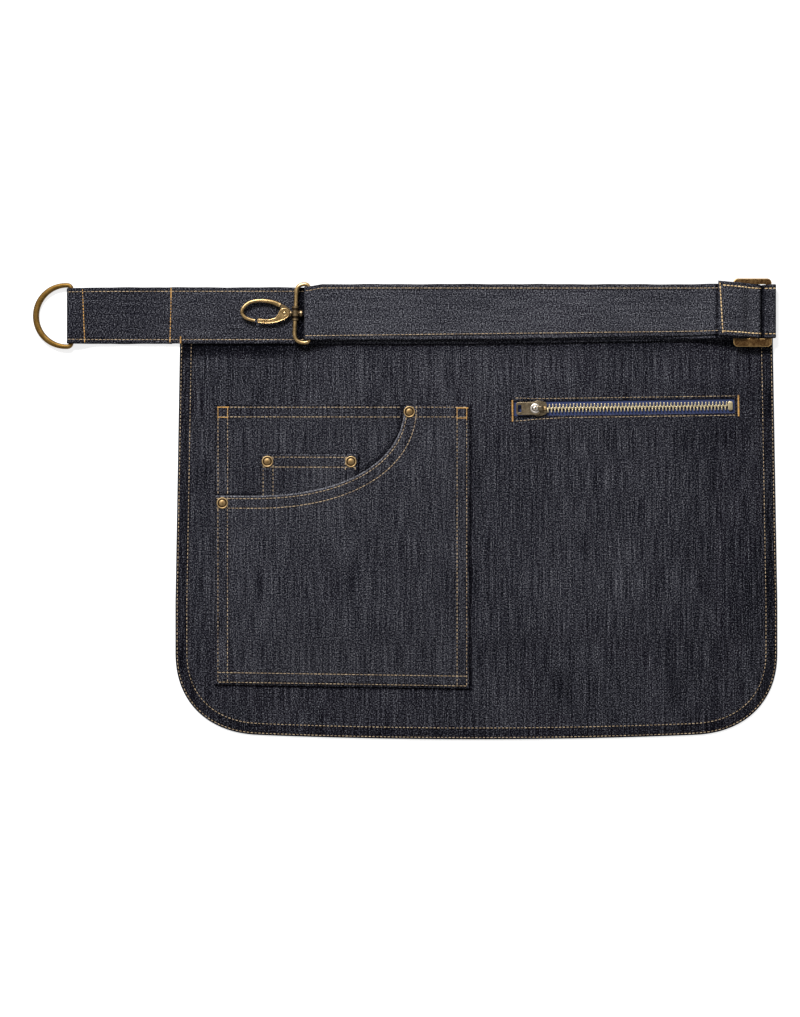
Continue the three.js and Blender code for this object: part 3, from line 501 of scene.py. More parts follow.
def cloth_piece(name, x, y, low, high, material, slot, replaced, edge, weave, keep=None, tone=None):
    """A sheet with two faces over a grid, closed round its outline and round any cells left out."""
    rows, columns = x.shape
    index = np.arange(rows * columns).reshape(rows, columns)
    quads = np.stack([index[:-1, :-1], index[1:, :-1], index[1:, 1:], index[:-1, 1:]], -1)
    quads = quads[keep] if keep is not None else quads.reshape(-1, 4)
    used, packed = np.unique(quads, return_inverse=True)
    quads = packed.reshape(-1, 4)
    count = len(used)
    flat = lambda grid: grid.reshape(-1)[used]
    top = np.stack([flat(x), flat(y), flat(high)], 1)
    under = np.stack([flat(x), flat(y), flat(low)], 1)
    sides = np.concatenate([quads[:, [a, (a + 1) % 4]] for a in range(4)])
    codes = sides[:, 0] * count + sides[:, 1]
    border = sides[~np.isin(codes, sides[:, 1] * count + sides[:, 0])]
    walls = np.stack([border[:, 1], border[:, 0], border[:, 0] + count, border[:, 1] + count], 1)
    faces = np.concatenate([quads, quads[:, ::-1] + count, walls])
    twice = lambda grid: np.concatenate([flat(grid), flat(grid)])
    fields = {
        "edge": twice(edge),
        "weave": np.stack([twice(weave[0]), twice(weave[1]), np.repeat([0.0, 0.3], count)], 1),
        "tone": twice(np.zeros_like(x) if tone is None else tone),
    }
    return make(name, np.concatenate([top, under]), faces, material, "apron", slot, replaced, fields)


def lines(keys, step):
    """Grid lines through the key places, no further apart than the step."""
    found = [keys[0]]
    for a, b in zip(keys[:-1], keys[1:]):
        parts = max(1, int(np.ceil(abs(b - a) / step)))
        found.extend(a + (b - a) * np.arange(1, parts + 1) / parts)
    return np.array(found)


edge_lines = np.array([0, 0.00012, 0.0004, 0.0009, 0.0015, 0.0022, 0.0033, 0.005, 0.007, 0.0084, 0.0092,
                       0.010, 0.011, 0.0125])
window_lines = np.array([0, 0.00012, 0.0004, 0.0009, 0.0016, 0.0026])


# Panel
def panel_side(y):
    tapered = np.clip((-y - band_width / 2) / side_taper, 0, 1)
    return panel_top_width / 2 + (panel_bottom_half - panel_top_width / 2) * tapered


corner_start = -(panel_drop - bottom_bow - corner_up)


def panel_half(y):
    down = np.clip((corner_start - y) / corner_up, 0, 1)
    across = (1 - down**corner_squareness) ** (1 / corner_squareness)
    return panel_side(y) - corner_across * (1 - across)


bag_y = zip_y + bag_above - bag_height / 2


def inside(x, y, mid_x, mid_y, half_x, half_y, run):
    return ease(1 - (abs(x - mid_x) - half_x) / run) * ease(1 - (abs(y - mid_y) - half_y) / run)


def panel_lift(x, y):
    bag_half_x = bag_length / 2 + bag_margin
    bag_half_y = bag_height / 2 + bag_margin
    over_bag = inside(x, y, zip_x, bag_y, bag_half_x, bag_half_y, bag_fall)
    tape_half_x = tape_length / 2 + tape_end_margin
    over_tape = inside(x, y, zip_x, zip_y, tape_half_x, tape_width / 2 + tape_margin, tape_fall)
    free_right = ease((panel_bottom_half - hem_width - x) / ripple_fade)
    free_bottom = ease((y + panel_drop - bottom_bow - hem_width) / ripple_fade)
    free = ease((x - ripple_left) / ripple_fade) * free_right
    free = free * ease((-y - ripple_down) / ripple_fade) * free_bottom
    wave = 0.5 + 0.5 * np.sin(2 * np.pi * (x + 0.55 * y) / ripple_length)
    return bag_lift * over_bag + tape_lift * over_tape + ripple_height * wave * free


def panel_point(c, v):
    """The place of grid column c and grid row v, both in the panel's own frame."""
    half = panel_half(v)
    from_edge = panel_bottom_half - np.abs(c)
    fixed, rim = 0.150, 0.0125
    stretched = fixed + (np.abs(c) - fixed) * (half - rim - fixed) / (panel_bottom_half - rim - fixed)
    x = np.where(from_edge <= rim, half - from_edge, np.where(np.abs(c) > fixed, stretched, np.abs(c)))
    x = x * np.sign(c)
    bow = bottom_bow * (1 - (x / panel_bottom_half) ** 2)
    y = v - bow * ease((-v - bow_start) / bow_run)
    near_zip = ease(1 - (abs(v - zip_y) - 0.008) / 0.050) * ease(1 - (abs(x - zip_x) - 0.095) / 0.030)
    return x, y + np.tan(zip_tilt) * (x - zip_x) * near_zip


def build_panel():
    rim = edge_lines[-1]
    left, right = zip_x - window_length / 2, zip_x + window_length / 2
    columns = np.concatenate([
        -panel_bottom_half + edge_lines[:-1],
        lines([-panel_bottom_half + rim, left - window_lines[-1]], cloth_step),
        left - window_lines[-2::-1],
        lines([left, right], cloth_step)[1:-1],
        right + window_lines[:-1],
        lines([right + window_lines[-1], panel_bottom_half - rim], cloth_step),
        panel_bottom_half - edge_lines[-2::-1],
    ])
    bottom = corner_start - corner_up
    high, low = zip_y + window_height / 2, zip_y - window_height / 2
    rows = np.concatenate([
        bottom + edge_lines[:-1],
        lines([bottom + rim, low - window_lines[-1]], cloth_step),
        low - window_lines[-2::-1],
        lines([low, high], 0.004)[1:-1],
        high + window_lines[:-1],
        lines([high + window_lines[-1], panel_tuck], cloth_step),
    ])
    c, v = np.meshgrid(columns, rows, indexing="ij")
    x, y = panel_point(c, v)
    in_window = (c[:-1, :-1] > left - 1e-9) & (c[1:, :-1] < right + 1e-9)
    in_window &= (v[:-1, :-1] > low - 1e-9) & (v[:-1, 1:] < high + 1e-9)
    outline = np.concatenate([
        np.stack([x[0, ::-1], y[0, ::-1]], 1), np.stack([x[:, 0], y[:, 0]], 1)[1:],
        np.stack([x[-1], y[-1]], 1)[1:],
    ])
    flat = np.stack([x.ravel(), y.ravel()], 1)
    reach = (np.abs(x) > panel_half(v) - 0.03) | (v < bottom + 0.03)
    edge = np.full(x.shape, 0.03)
    edge[reach] = np.minimum(segment_distance(flat[reach.ravel()], outline), 0.03)
    out_c = np.maximum(np.maximum(left - c, c - right), 0)
    out_v = np.maximum(np.maximum(low - v, v - high), 0)
    window = np.hypot(out_c, out_v)
    hem = hem_fold * ease((hem_width + 0.0008 - edge) / 0.0014)
    pucker = 0.00012 * bump(edge, 0.005, 0.004) * np.sin((x * 0.7 + y) * 900)
    thick = cloth + hem + pucker
    seams = bump(edge, near_row, 0.0006) + bump(edge, far_row, 0.0008)
    base = panel_lift(x, y) + 0.00028 * seams
    thick = thick - 0.00028 * seams
    share = np.minimum(rounded(edge, 0.0009), rounded(window, 0.0006))
    middle = base + thick / 2
    tone = -0.02 * ease((x - 0.13) / 0.08) + 0.02 * bump(np.hypot(x - 0.09, (y + 0.2) * 0.6), 0, 0.08)
    tone += 0.035 * bump(np.hypot(x + 0.065, (y + 0.048) * 2.2), 0, 0.1)
    tone -= 0.060 * ease((0.0105 - edge) / 0.002)
    # Painted shadow below the waistband: a wide dark strip at the left and a narrow one all along.
    below = -y - band_width / 2
    tone -= 0.14 * ease(1 - (below - 0.006) / 0.008) * ease(1 - (x + 0.165) / 0.05)
    tone -= 0.06 * ease(1 - below / 0.008)
    panel = cloth_piece(
        "panel", x + centre_x, y + centre_y, middle - thick / 2 * share, middle + thick / 2 * share,
        panel_denim, "denim", ["body_panel"], np.where(window < 0.003, window + 0.0002, edge), (x, y),
        ~in_window, tone)
    return panel, outline


def panel_top(x, y, hem=True):
    """The height of the panel's upper face at a place in the panel's own frame."""
    return panel_lift(x, y) + cloth + (hem_fold if hem else 0)


# Strap routes
def ramp(start, end, steps=16):
    t = np.linspace(0, 1, steps + 1)
    return np.stack([start[0] + (end[0] - start[0]) * t, start[1] + (end[1] - start[1]) * ease(t)], 1)


def arc(centre, radius, start, end, steps):
    turn = np.radians(np.linspace(start, end, steps + 1))
    return np.stack([centre[0] + radius * np.cos(turn), centre[1] + radius * np.sin(turn)], 1)


def joined(*parts):
    points = np.concatenate([np.atleast_2d(p) for p in parts])
    apart = np.linalg.norm(np.diff(points, axis=0), axis=1) > 2e-6
    return points[np.concatenate([[True], apart])]


def left_normals(points):
    before = np.concatenate([points[:1], points[:-1]])
    after = np.concatenate([points[1:], points[-1:]])
    along = after - before
    along /= np.linalg.norm(along, axis=1)[:, None]
    return np.stack([-along[:, 1], along[:, 0]], 1)


def shifted(points, distance):
    return points + left_normals(points) * distance


def filled(points, step, ends=(0.00015, 0.0004, 0.0008)):
    """The route with more points on its straight stretches and close to its two ends."""
    length = np.concatenate([[0], np.cumsum(np.linalg.norm(np.diff(points, axis=0), axis=1))])
    places = set(np.round(length, 7))
    for a, b in zip(length[:-1], length[1:]):
        parts = int(np.ceil((b - a) / step))
        places.update(np.round(a + (b - a) * np.arange(1, parts) / parts, 7))
    for inset in ends:
        places.update((round(inset, 7), round(length[-1] - inset, 7)))
    places = np.array(sorted(places))
    places = places[np.concatenate([[True], np.diff(places) > 4e-5])]
    route = np.stack([np.interp(places, length, points[:, k]) for k in (0, 1)], 1)
    return route, places


def lay(points, start, end, table):
    """The strap's place across and its width at each point, from shares of the band's width."""
    along = (points[:, 0] - start) / (end - start)
    shares = [row[0] for row in table]
    centre = np.interp(along, shares, [row[1] for row in table]) * band_width
    width = np.interp(along, shares, [row[2] for row in table]) * band_width
    return np.stack([points[:, 0], points[:, 1], centre, width], 1)


# Columns: share of the route's length, rise and width in band widths
band_lay = [(0, -0.009, 0.982), (0.05, 0, 1), (0.77, 0, 1), (0.83, 0.02, 0.965), (1, 0.071, 0.95)]
return_lay = [(0, 0.03, 0.942), (0.1, 0.045, 0.93), (1, 0.058, 0.942), (1.053, 0.071, 0.95)]
upper_lay = [(0, 0.03, 0.942), (0.03, 0.058, 0.985), (0.34, 0.058, 0.993), (0.75, 0.084, 0.929),
             (0.92, 0.1, 0.899), (0.97, 0.08, 0.899), (1, 0.07, 0.92)]
sewn_lay = [(0.92, 0.124, 0.958), (1, 0.075, 0.942), (1.02, 0.066, 0.942)]

tail_turn = ring_wire / 2 + gap + strap / 2
ring_bar = np.array([-(band_left - strap / 2 - tail_turn), strap / 2 + tail_turn])
band_join = slider_x + slider_bar
over = slider_plate / 2 + gap + strap / 2
deep = over + pitch
plate_z = band_top + gap + strap / 2 + deep
crest = 0.0016
crest_clear = 0.0001
bar_slack = 0.0002
turn_reach = 0.0019
bar_half = slider_bar / 2
loop_turn = loop_wire / 2 + gap + strap / 2
loop_bar = np.array([-(clasp_reach - strap / 2 - loop_turn), return_mid + loop_turn])
centre_turn = np.array([slider_x + bar_half + turn_reach, plate_z])


def slot_slope(start, end):
    reach = np.hypot(*(end - start))
    rise = np.arctan2(end[1] - start[1], abs(end[0] - start[0]))
    return np.degrees(np.arcsin((deep + crest) / reach) + rise)


def tail_route():
    """The tail runs on into the band's first millimetre, so that no light comes through the joint."""
    end = -tail_join + joint_tuck
    route = joined(
        (end, strap / 2), (ring_bar[0] + fold_run, strap / 2), arc(ring_bar, tail_turn, -90, -270, 36),
        ramp((ring_bar[0], ring_bar[1] + tail_turn), (ring_bar[0] + fold_run, tail_mid)), (end, tail_mid))
    return lay(route, -band_left, band_right, band_lay)


def band_route():
    ends = [-tail_join - joint_tuck, 0.0, slider_x - slider_run, band_join - gap / 2]
    return lay(joined(*[(x, band_mid) for x in ends]), -band_left, band_right, band_lay)


def adjuster_route():
    fold = (plate_z + over - band_mid) / 2
    right_fold = (band_right - strap / 2 - fold, band_mid + fold)
    right_crest = np.array([slider_x + outer_bar + crest_clear, plate_z + over - crest])
    left_crest = np.array([slider_x - outer_bar - crest_clear, plate_z + over - crest])
    left_bend = np.array([slider_x - bar_half + bar_slack, plate_z])
    right_slope = slot_slope(centre_turn, right_crest)
    left_slope = slot_slope(left_bend, left_crest)
    left_edge = slider_x - slider_across / 2 - 0.001
    entry = joined(
        (band_join + gap / 2, band_mid), arc(right_fold, fold, -90, 90, 30),
        arc(right_crest, crest, 90, 90 + right_slope, 10),
        arc(centre_turn, deep, -90 + right_slope, -90, 10))
    slide = ramp((left_edge, plate_z + over), (left_edge - slider_run, return_mid), 24)
    through = joined(
        arc(left_bend, deep, -90, -90 - left_slope, 10),
        arc(left_crest, crest, 90 - left_slope, 90, 10), slide)
    back = arc(loop_bar, loop_turn, -90, -270, 36)
    drop = ramp((loop_bar[0], loop_bar[1] + loop_turn), (loop_bar[0] + fold_run, upper_mid))
    upper = joined(drop, shifted(joined((0, return_mid), through[::-1]), pitch))
    turn = arc(centre_turn, over, -90, 90, 20)
    bar_top = (slider_x - bar_half, plate_z + over)
    crossing = ramp(bar_top, (left_crest[0], plate_z + over + 2 * pitch), 12)
    top = shifted(joined((left_crest[0], plate_z + over), slide), -2 * pitch)
    kept = top[top[:, 0] > sewn_end]
    last = (sewn_end, np.interp(sewn_end, top[::-1, 0], top[::-1, 1]))
    place = lambda points, table: lay(points, loop_bar[0], slider_x, table)
    parts = [
        place(joined(entry, through, back[:19]), return_lay),
        place(joined(back[19:], upper, turn[:10]), upper_lay),
        place(joined(turn[10:], crossing, kept, last), sewn_lay),
    ]
    return np.concatenate(parts)


strap_insets = np.array([0, 0.00012, 0.0004, 0.0008, 0.0014, 0.0022, 0.0028, 0.0033, 0.0038, 0.0046, 0.007])


def strap_sections(route, step=0.003):
    points, places = filled(route[:, :2], step)
    length = np.concatenate([[0], np.cumsum(np.linalg.norm(np.diff(route[:, :2], axis=0), axis=1))])
    centre = np.interp(places, length, route[:, 2])
    width = np.interp(places, length, route[:, 3])
    return points, places, centre, width


def build_strap(name, route, replaced, shift, shade=0.0):
    points, places, centre, width = strap_sections(route)
    normal = left_normals(points)
    insets = strap_insets
    middle = np.linspace(0, 1, 12)[1:-1]
    half = width[:, None] / 2
    inner = half - insets[-1]
    across = np.concatenate([
        -half + insets, -inner + 2 * inner * middle, (half - insets)[:, ::-1]], 1)
    edge = half - np.abs(across)
    ends = np.minimum(places, places[-1] - places)[:, None]
    full = np.minimum(rounded(edge, strap / 2), rounded(ends, strap / 2))
    puff = 0.00010 * bump(edge, 0.0018, 0.0010) - 0.00016 * bump(edge, strap_row, 0.0005)
    thick = (strap / 2 + puff) * full
    wobble = 0.00012 * np.sin(places * 95 + shift) + 0.00009 * np.sin(places * 231 + 2 * shift)
    y = across + (centre + wobble)[:, None] + centre_y
    faces, skins = [], []
    for side in (1, -1):
        x = points[:, :1] + side * normal[:, :1] * thick + centre_x
        z = points[:, 1:] + side * normal[:, 1:] * thick
        skins.append(np.stack([x, y, z], -1))
    skins[1] = skins[1][:, ::-1]
    ring = np.concatenate(skins, 1)
    count, size = ring.shape[:2]
    index = np.arange(count * size).reshape(count, size)
    nxt = np.roll(index, -1, axis=1)
    quads = np.stack([index[:-1], nxt[:-1], nxt[1:], index[1:]], -1).reshape(-1, 4)[:, ::-1]
    faces = [list(q) for q in quads] + [list(index[0]), list(index[-1][::-1])]
    twice = lambda grid: np.concatenate([grid, grid[:, ::-1]], 1).ravel()
    along = np.broadcast_to(places[:, None], across.shape)
    fields = {
        "edge": twice(edge),
        "weave": np.stack([twice(across), twice(along), np.zeros(ring.shape[0] * size)], 1),
        "tone": twice(shade - 0.05 * bump(edge, 0.0, 0.0016)),
    }
    return make(name, ring.reshape(-1, 3), faces, band_denim, "apron", "strap_denim", replaced, fields)


# Pockets
def pocket_drop(x, y):
    """The bottom edge slopes down to the right and the top edge is level. y is before the slope."""
    return pocket_slope * (x + pocket_left) * (-pocket_top - y) / pocket_height


def pocket_lift(x, y):
    right = pocket_width - pocket_left
    bottom = -pocket_top - pocket_height
    sides = ease((x + pocket_left) / puff_run) * ease((right - x) / puff_run)
    return pocket_puff * sides * ease((y - bottom) / puff_run) * ease((-pocket_top - y) / puff_run)


def mouth_curve(steps):
    reach = mouth_across - mouth_flat
    turn = np.radians(90 * (1 - np.linspace(0, 1, steps + 1)))
    x = mouth_flat - pocket_left + reach * np.maximum(np.cos(turn), 0) ** (2 / mouth_squareness)
    y = -pocket_top - mouth_down * np.sin(turn) ** (2 / mouth_squareness)
    return np.stack([x, y], 1)


def stacked_rows(bottom, top, step):
    """Rows between two heights for each column: close at both ends and even between them."""
    count = int(np.ceil((top - bottom).max() / step))
    inner = np.linspace(0, 1, count)[1:-1]
    rim = edge_lines[-1]
    low = bottom[:, None] + edge_lines
    high = top[:, None] - edge_lines[::-1]
    between = (bottom + rim)[:, None] + (top - bottom - 2 * rim)[:, None] * inner
    return np.concatenate([low, between, high], 1)


def patch_piece(name, x_lines, bottom, top, level, drop_to, sewn, free, lift, material, replaced, tone, brow):
    """A patch pocket: its sewn edges come down to what it lies on, and its free edge stands."""
    y = stacked_rows(bottom, top, cloth_step)
    x = np.broadcast_to(x_lines[:, None], y.shape)
    flat = np.stack([x.ravel(), y.ravel()], 1)
    sewn_edge = segment_distance(flat, sewn).reshape(x.shape)
    free_edge = segment_distance(flat, free).reshape(x.shape)
    edge = np.minimum(sewn_edge, free_edge)
    share = rounded(edge, 0.0006)
    base = drop_to + (level - drop_to) * ease(sewn_edge / 0.004) + lift(x, y)
    seam = 0.00016 * bump(edge, 0.005, 0.0035) * (1 + 0.7 * np.sin((x * 0.7 + y) * 800))
    middle = base + patch / 2
    thick = patch + seam
    # Painted shade along the sewn edges. On the free edge, brow paints a highlight where it is positive and shade where
    # it is negative.
    shade = tone - 0.12 * bump(sewn_edge, 0.0, 0.0007) + brow * bump(free_edge, 0.0005, 0.0006)
    return cloth_piece(
        name, x + centre_x, y - pocket_drop(x, y) + centre_y, middle - patch / 2 * share,
        middle - patch / 2 + patch / 2 * (1 - share) + thick * share, material, "denim", replaced,
        np.minimum(edge, 0.03), (x, y), None, shade)


def build_pockets():
    right = pocket_width - pocket_left
    bottom = -pocket_top - pocket_height
    mouth = mouth_curve(72)
    brow = mouth[-1, 0]
    flat = np.concatenate([
        -pocket_left + edge_lines[:-1], lines([-pocket_left + edge_lines[-1], mouth[0, 0]], cloth_step)])
    past = np.concatenate([
        lines([brow, right - edge_lines[-1]], cloth_step)[1:-1], right - edge_lines[::-1]])
    x_lines = np.concatenate([flat[:-1], mouth[:, 0], past])
    top = np.concatenate([np.full(len(flat) - 1, mouth[0, 1]), mouth[:, 1], np.full(len(past), -pocket_top)])
    sewn = np.array([
        (-pocket_left, mouth[0, 1]), (-pocket_left, bottom), (right, bottom), (right, -pocket_top),
        (brow, -pocket_top)])
    free = np.concatenate([[(-pocket_left, mouth[0, 1])], mouth])
    outer = patch_piece(
        "outer_pocket_cloth", x_lines, np.full(len(x_lines), bottom), top, coin_level, cloth + 0.0001,
        sewn, free, pocket_lift, pocket_denim, ["outer_pocket"], 0.004, 0.25)
    none = lambda x, y: 0 * x
    left, far = -pocket_left, right - inner_inset
    low, high = bottom + inner_inset, -pocket_top - 0.0004
    x_lines = np.concatenate([
        left + edge_lines[:-1], lines([left + edge_lines[-1], far - edge_lines[-1]], cloth_step),
        far - edge_lines[-2::-1]])
    sides = np.array([(left, high), (left, low), (far, low), (far, high)])
    inner = patch_piece(
        "inner_pocket_cloth", x_lines, np.full(len(x_lines), low), np.full(len(x_lines), high),
        inner_low.z, cloth + 0.00005, sides, np.array([(left, high), (far, high)]), none, inner_denim,
        ["inner_pocket"], 0.0, -0.08)
    left = coin_left - pocket_left
    far, high = left + coin_width, -pocket_top - coin_top
    low = high - coin_height
    x_lines = np.concatenate([
        left + edge_lines[:-1], lines([left + edge_lines[-1], far - edge_lines[-1]], cloth_step),
        far - edge_lines[-2::-1]])
    sides = np.array([(left, high), (left, low), (far, low), (far, high)])
    coin = patch_piece(
        "coin_pocket_cloth", x_lines, np.full(len(x_lines), low), np.full(len(x_lines), high),
        coin_low.z, inner_high.z + 0.00005, sides, np.array([(left, high), (far, high)]), none,
        pocket_denim, ["coin_pocket"], 0.0, 0.07)
    return outer, inner, coin


panel, panel_outline = build_panel()
outer_pocket, inner_pocket, coin_pocket = build_pockets()
band = build_strap("waistband_strap", band_route(), ["waistband"], 0.3)
tail = build_strap("waistband_tail_strap", tail_route(), ["waistband_tail"], 1.1, -0.045)
adjuster = build_strap("adjuster_webbing", adjuster_route(), ["adjuster_strap"], 2.0, 0.025)


# Zip pocket bag and tape
def rectangle_cloth(name, mid_x, mid_y, size_x, size_y, low, high, tilt, material, slot, replaced, step):
    insets = np.array([0, 0.0001, 0.0003, 0.0006, 0.0015, 0.004])
    across = np.concatenate([
        -size_x / 2 + insets, lines([-size_x / 2 + 0.008, size_x / 2 - 0.008], step),
        size_x / 2 - insets[::-1]])
    up = np.concatenate([
        -size_y / 2 + insets, lines([-size_y / 2 + 0.006, size_y / 2 - 0.006], step),
        size_y / 2 - insets[::-1]])
    c, v = np.meshgrid(across, up, indexing="ij")
    edge = np.minimum(size_x / 2 - abs(c), size_y / 2 - abs(v))
    x = mid_x + c * np.cos(tilt) - v * np.sin(tilt)
    y = mid_y + c * np.sin(tilt) + v * np.cos(tilt)
    half = (high - low) / 2 * rounded(edge, (high - low) / 2)
    middle = (high + low) / 2
    return cloth_piece(
        name, x + centre_x, y + centre_y, middle - half, middle + half, material, slot, replaced,
        edge, (c, v))


zip_tape = rectangle_cloth(
    "zip_tape_cloth", zip_x, zip_y, tape_length, tape_width, bag_lift, tape_top, zip_tilt, blue_tape,
    "zip_tape", ["zip_tape"], 0.003)
pocket_bag = rectangle_cloth(
    "pocket_bag_cloth", zip_x, bag_y, bag_length, bag_height, 0.0, bag, 0.0, bag_denim,
    "pocket_cloth", ["zip_pocket_bag"], 0.004)


# Threads
def unit(v):
    return v / np.maximum(np.linalg.norm(v, axis=-1, keepdims=True), 1e-12)


class Threads:
    """Stitches gathered into one mesh."""

    rings = np.array([-1, -0.72, 0, 0.72, 1])
    girth = np.array([0.3, 0.85, 1, 0.85, 0.3])
    sink = np.array([-0.9, -0.25, 0.15, -0.25, -0.9])
    sides = 6

    def __init__(self):
        self.vertices, self.faces, self.shades, self.count = [], [], [], 0

    def add(self, centres, along, up, length, radius=thread):
        along, up = unit(along), unit(up)
        side = unit(np.cross(along, up))
        turn = 2 * np.pi * np.arange(self.sides) / self.sides
        count = len(centres)
        radius = np.broadcast_to(radius, (count,))[:, None, None]
        length = np.broadcast_to(length, (count,))[:, None, None]
        ring = self.rings[None, :, None] * length / 2
        wide = self.girth[None, :, None] * radius * np.cos(turn)
        tall = self.girth[None, :, None] * radius * np.sin(turn) + self.sink[None, :, None] * radius
        points = (
            centres[:, None, None] + along[:, None, None] * (ring + 0 * turn)[..., None]
            + side[:, None, None] * wide[..., None] + up[:, None, None] * tall[..., None])
        size = len(self.rings) * self.sides
        cell = []
        for r in range(len(self.rings) - 1):
            for s in range(self.sides):
                t = (s + 1) % self.sides
                a, b = r * self.sides, (r + 1) * self.sides
                cell.append((a + s, a + t, b + t, b + s))
        caps = [tuple(range(self.sides))[::-1], tuple(range(size - self.sides, size))]
        starts = self.count + size * np.arange(count)
        for start in starts:
            self.faces.extend([[start + k for k in f] for f in cell + caps])
        self.vertices.append(points.reshape(-1, 3))
        self.shades.append(np.repeat(random.uniform(0, 1, count), size))
        self.count += count * size

    def row(self, line, up=(0, 0, 1), step=stitch_pitch, length=stitch_length, radius=thread):
        """Stitches along a line of points in the row frame."""
        line = np.asarray(line, float)
        reach = np.concatenate([[0], np.cumsum(np.linalg.norm(np.diff(line, axis=0), axis=1))])
        count = max(1, int(reach[-1] / step))
        places = (np.arange(count) + 0.5) * reach[-1] / count
        at = lambda s: np.stack([np.interp(s, reach, line[:, k]) for k in range(3)], 1)
        along = at(places + length / 2) - at(places - length / 2)
        ups = np.broadcast_to(np.asarray(up, float), along.shape)
        self.add(at(places), along, ups, length * random.uniform(0.92, 1.06, count), radius)

    def tack(self, start, end, width, up=(0, 0, 1), step=0.00042):
        """A bartack: threads laid close together across a short line."""
        start, end = np.asarray(start, float), np.asarray(end, float)
        count = max(2, int(np.linalg.norm(end - start) / step))
        share = (np.arange(count) + 0.5)[:, None] / count
        centres = start + (end - start) * share
        ups = np.broadcast_to(np.asarray(up, float), centres.shape)
        across = np.cross(unit(end - start), ups) + unit(end - start) * 0.25
        centres = centres + ups * 0.0001
        self.add(centres, across, ups, width * random.uniform(0.88, 1.08, count), 0.0003)

    def piece(self, name, material, slot):
        return make(
            name, np.concatenate(self.vertices), self.faces, material, "apron", slot, (),
            {"shade": np.concatenate(self.shades)})


def inward(outline, distance):
    """A line at this distance inside an outline that has the inside on its left."""
    return outline + left_normals(outline) * distance


def raised(line, height):
    """A line in the panel's frame, put at a height and into the row frame."""
    height = np.broadcast_to(height, (len(line),))
    return np.stack([line[:, 0] + centre_x, line[:, 1] + centre_y, height], 1)


def even(line, step=0.002):
    reach = np.concatenate([[0], np.cumsum(np.linalg.norm(np.diff(line, axis=0), axis=1))])
    places = np.linspace(0, reach[-1], max(2, int(reach[-1] / step) + 1))
    return np.stack([np.interp(places, reach, line[:, k]) for k in range(line.shape[1])], 1)


def sew_panel():
    tan = Threads()
    visible = panel_outline[panel_outline[:, 1] < -band_width / 2 + 0.002]
    smooth = even(visible, 0.004)
    for row in cloth_rows:
        line = even(inward(smooth, row), 0.001)
        level = np.abs(np.gradient(line[:, 1])) < np.abs(np.gradient(line[:, 0]))
        length = long_stitch if level.mean() > 0.5 else stitch_length
        tan.row(raised(line, panel_top(line[:, 0], line[:, 1]) + 0.00005), length=length)
        under = panel_lift(line[:, 0], line[:, 1]) + thread
        tan.row(raised(line, under), up=(0, 0, -1))
    return tan.piece("hem_stitches", tan_thread, "denim")


def sew_strap(threads, route, keep, face, lift=0.0, **settings):
    """Stitch rows along the part of a route for which keep is true, on its upper or lower face."""
    points, places, centre, width = strap_sections(route)
    normal = left_normals(points)
    heading = np.sign(np.gradient(points[:, 0]))
    facing = (heading * face)[:, None] * normal
    chosen = keep(points, heading)
    for side in (-1, 1):
        y = centre + side * (width / 2 - strap_row) + centre_y
        skin = points + facing * (strap / 2 + lift)
        line = np.stack([skin[:, 0] + centre_x, y, skin[:, 1]], 1)[chosen]
        threads.row(line, up=(0, 0, face), **settings)


def upper_face(route, x, first=0, last=None):
    """The height of a route's upper face at x, between two of its points, with centre and width there."""
    points, places, centre, width = (part[first:last] for part in strap_sections(route))
    order = np.argsort(points[:, 0])
    at = lambda values: np.interp(x, points[order, 0], values[order])
    return at(points[:, 1]) + strap / 2, at(centre) + centre_y, at(width)


def cross_row(threads, x, lean, face, up, **settings):
    """A row straight across a strap, at x in the row frame."""
    z, mid, width = face
    half = width / 2 - 0.0008
    line = even(np.array([(x - lean, mid - half, z), (x + lean, mid + half, z)]), 0.001)
    threads.row(line, up=up, **settings)


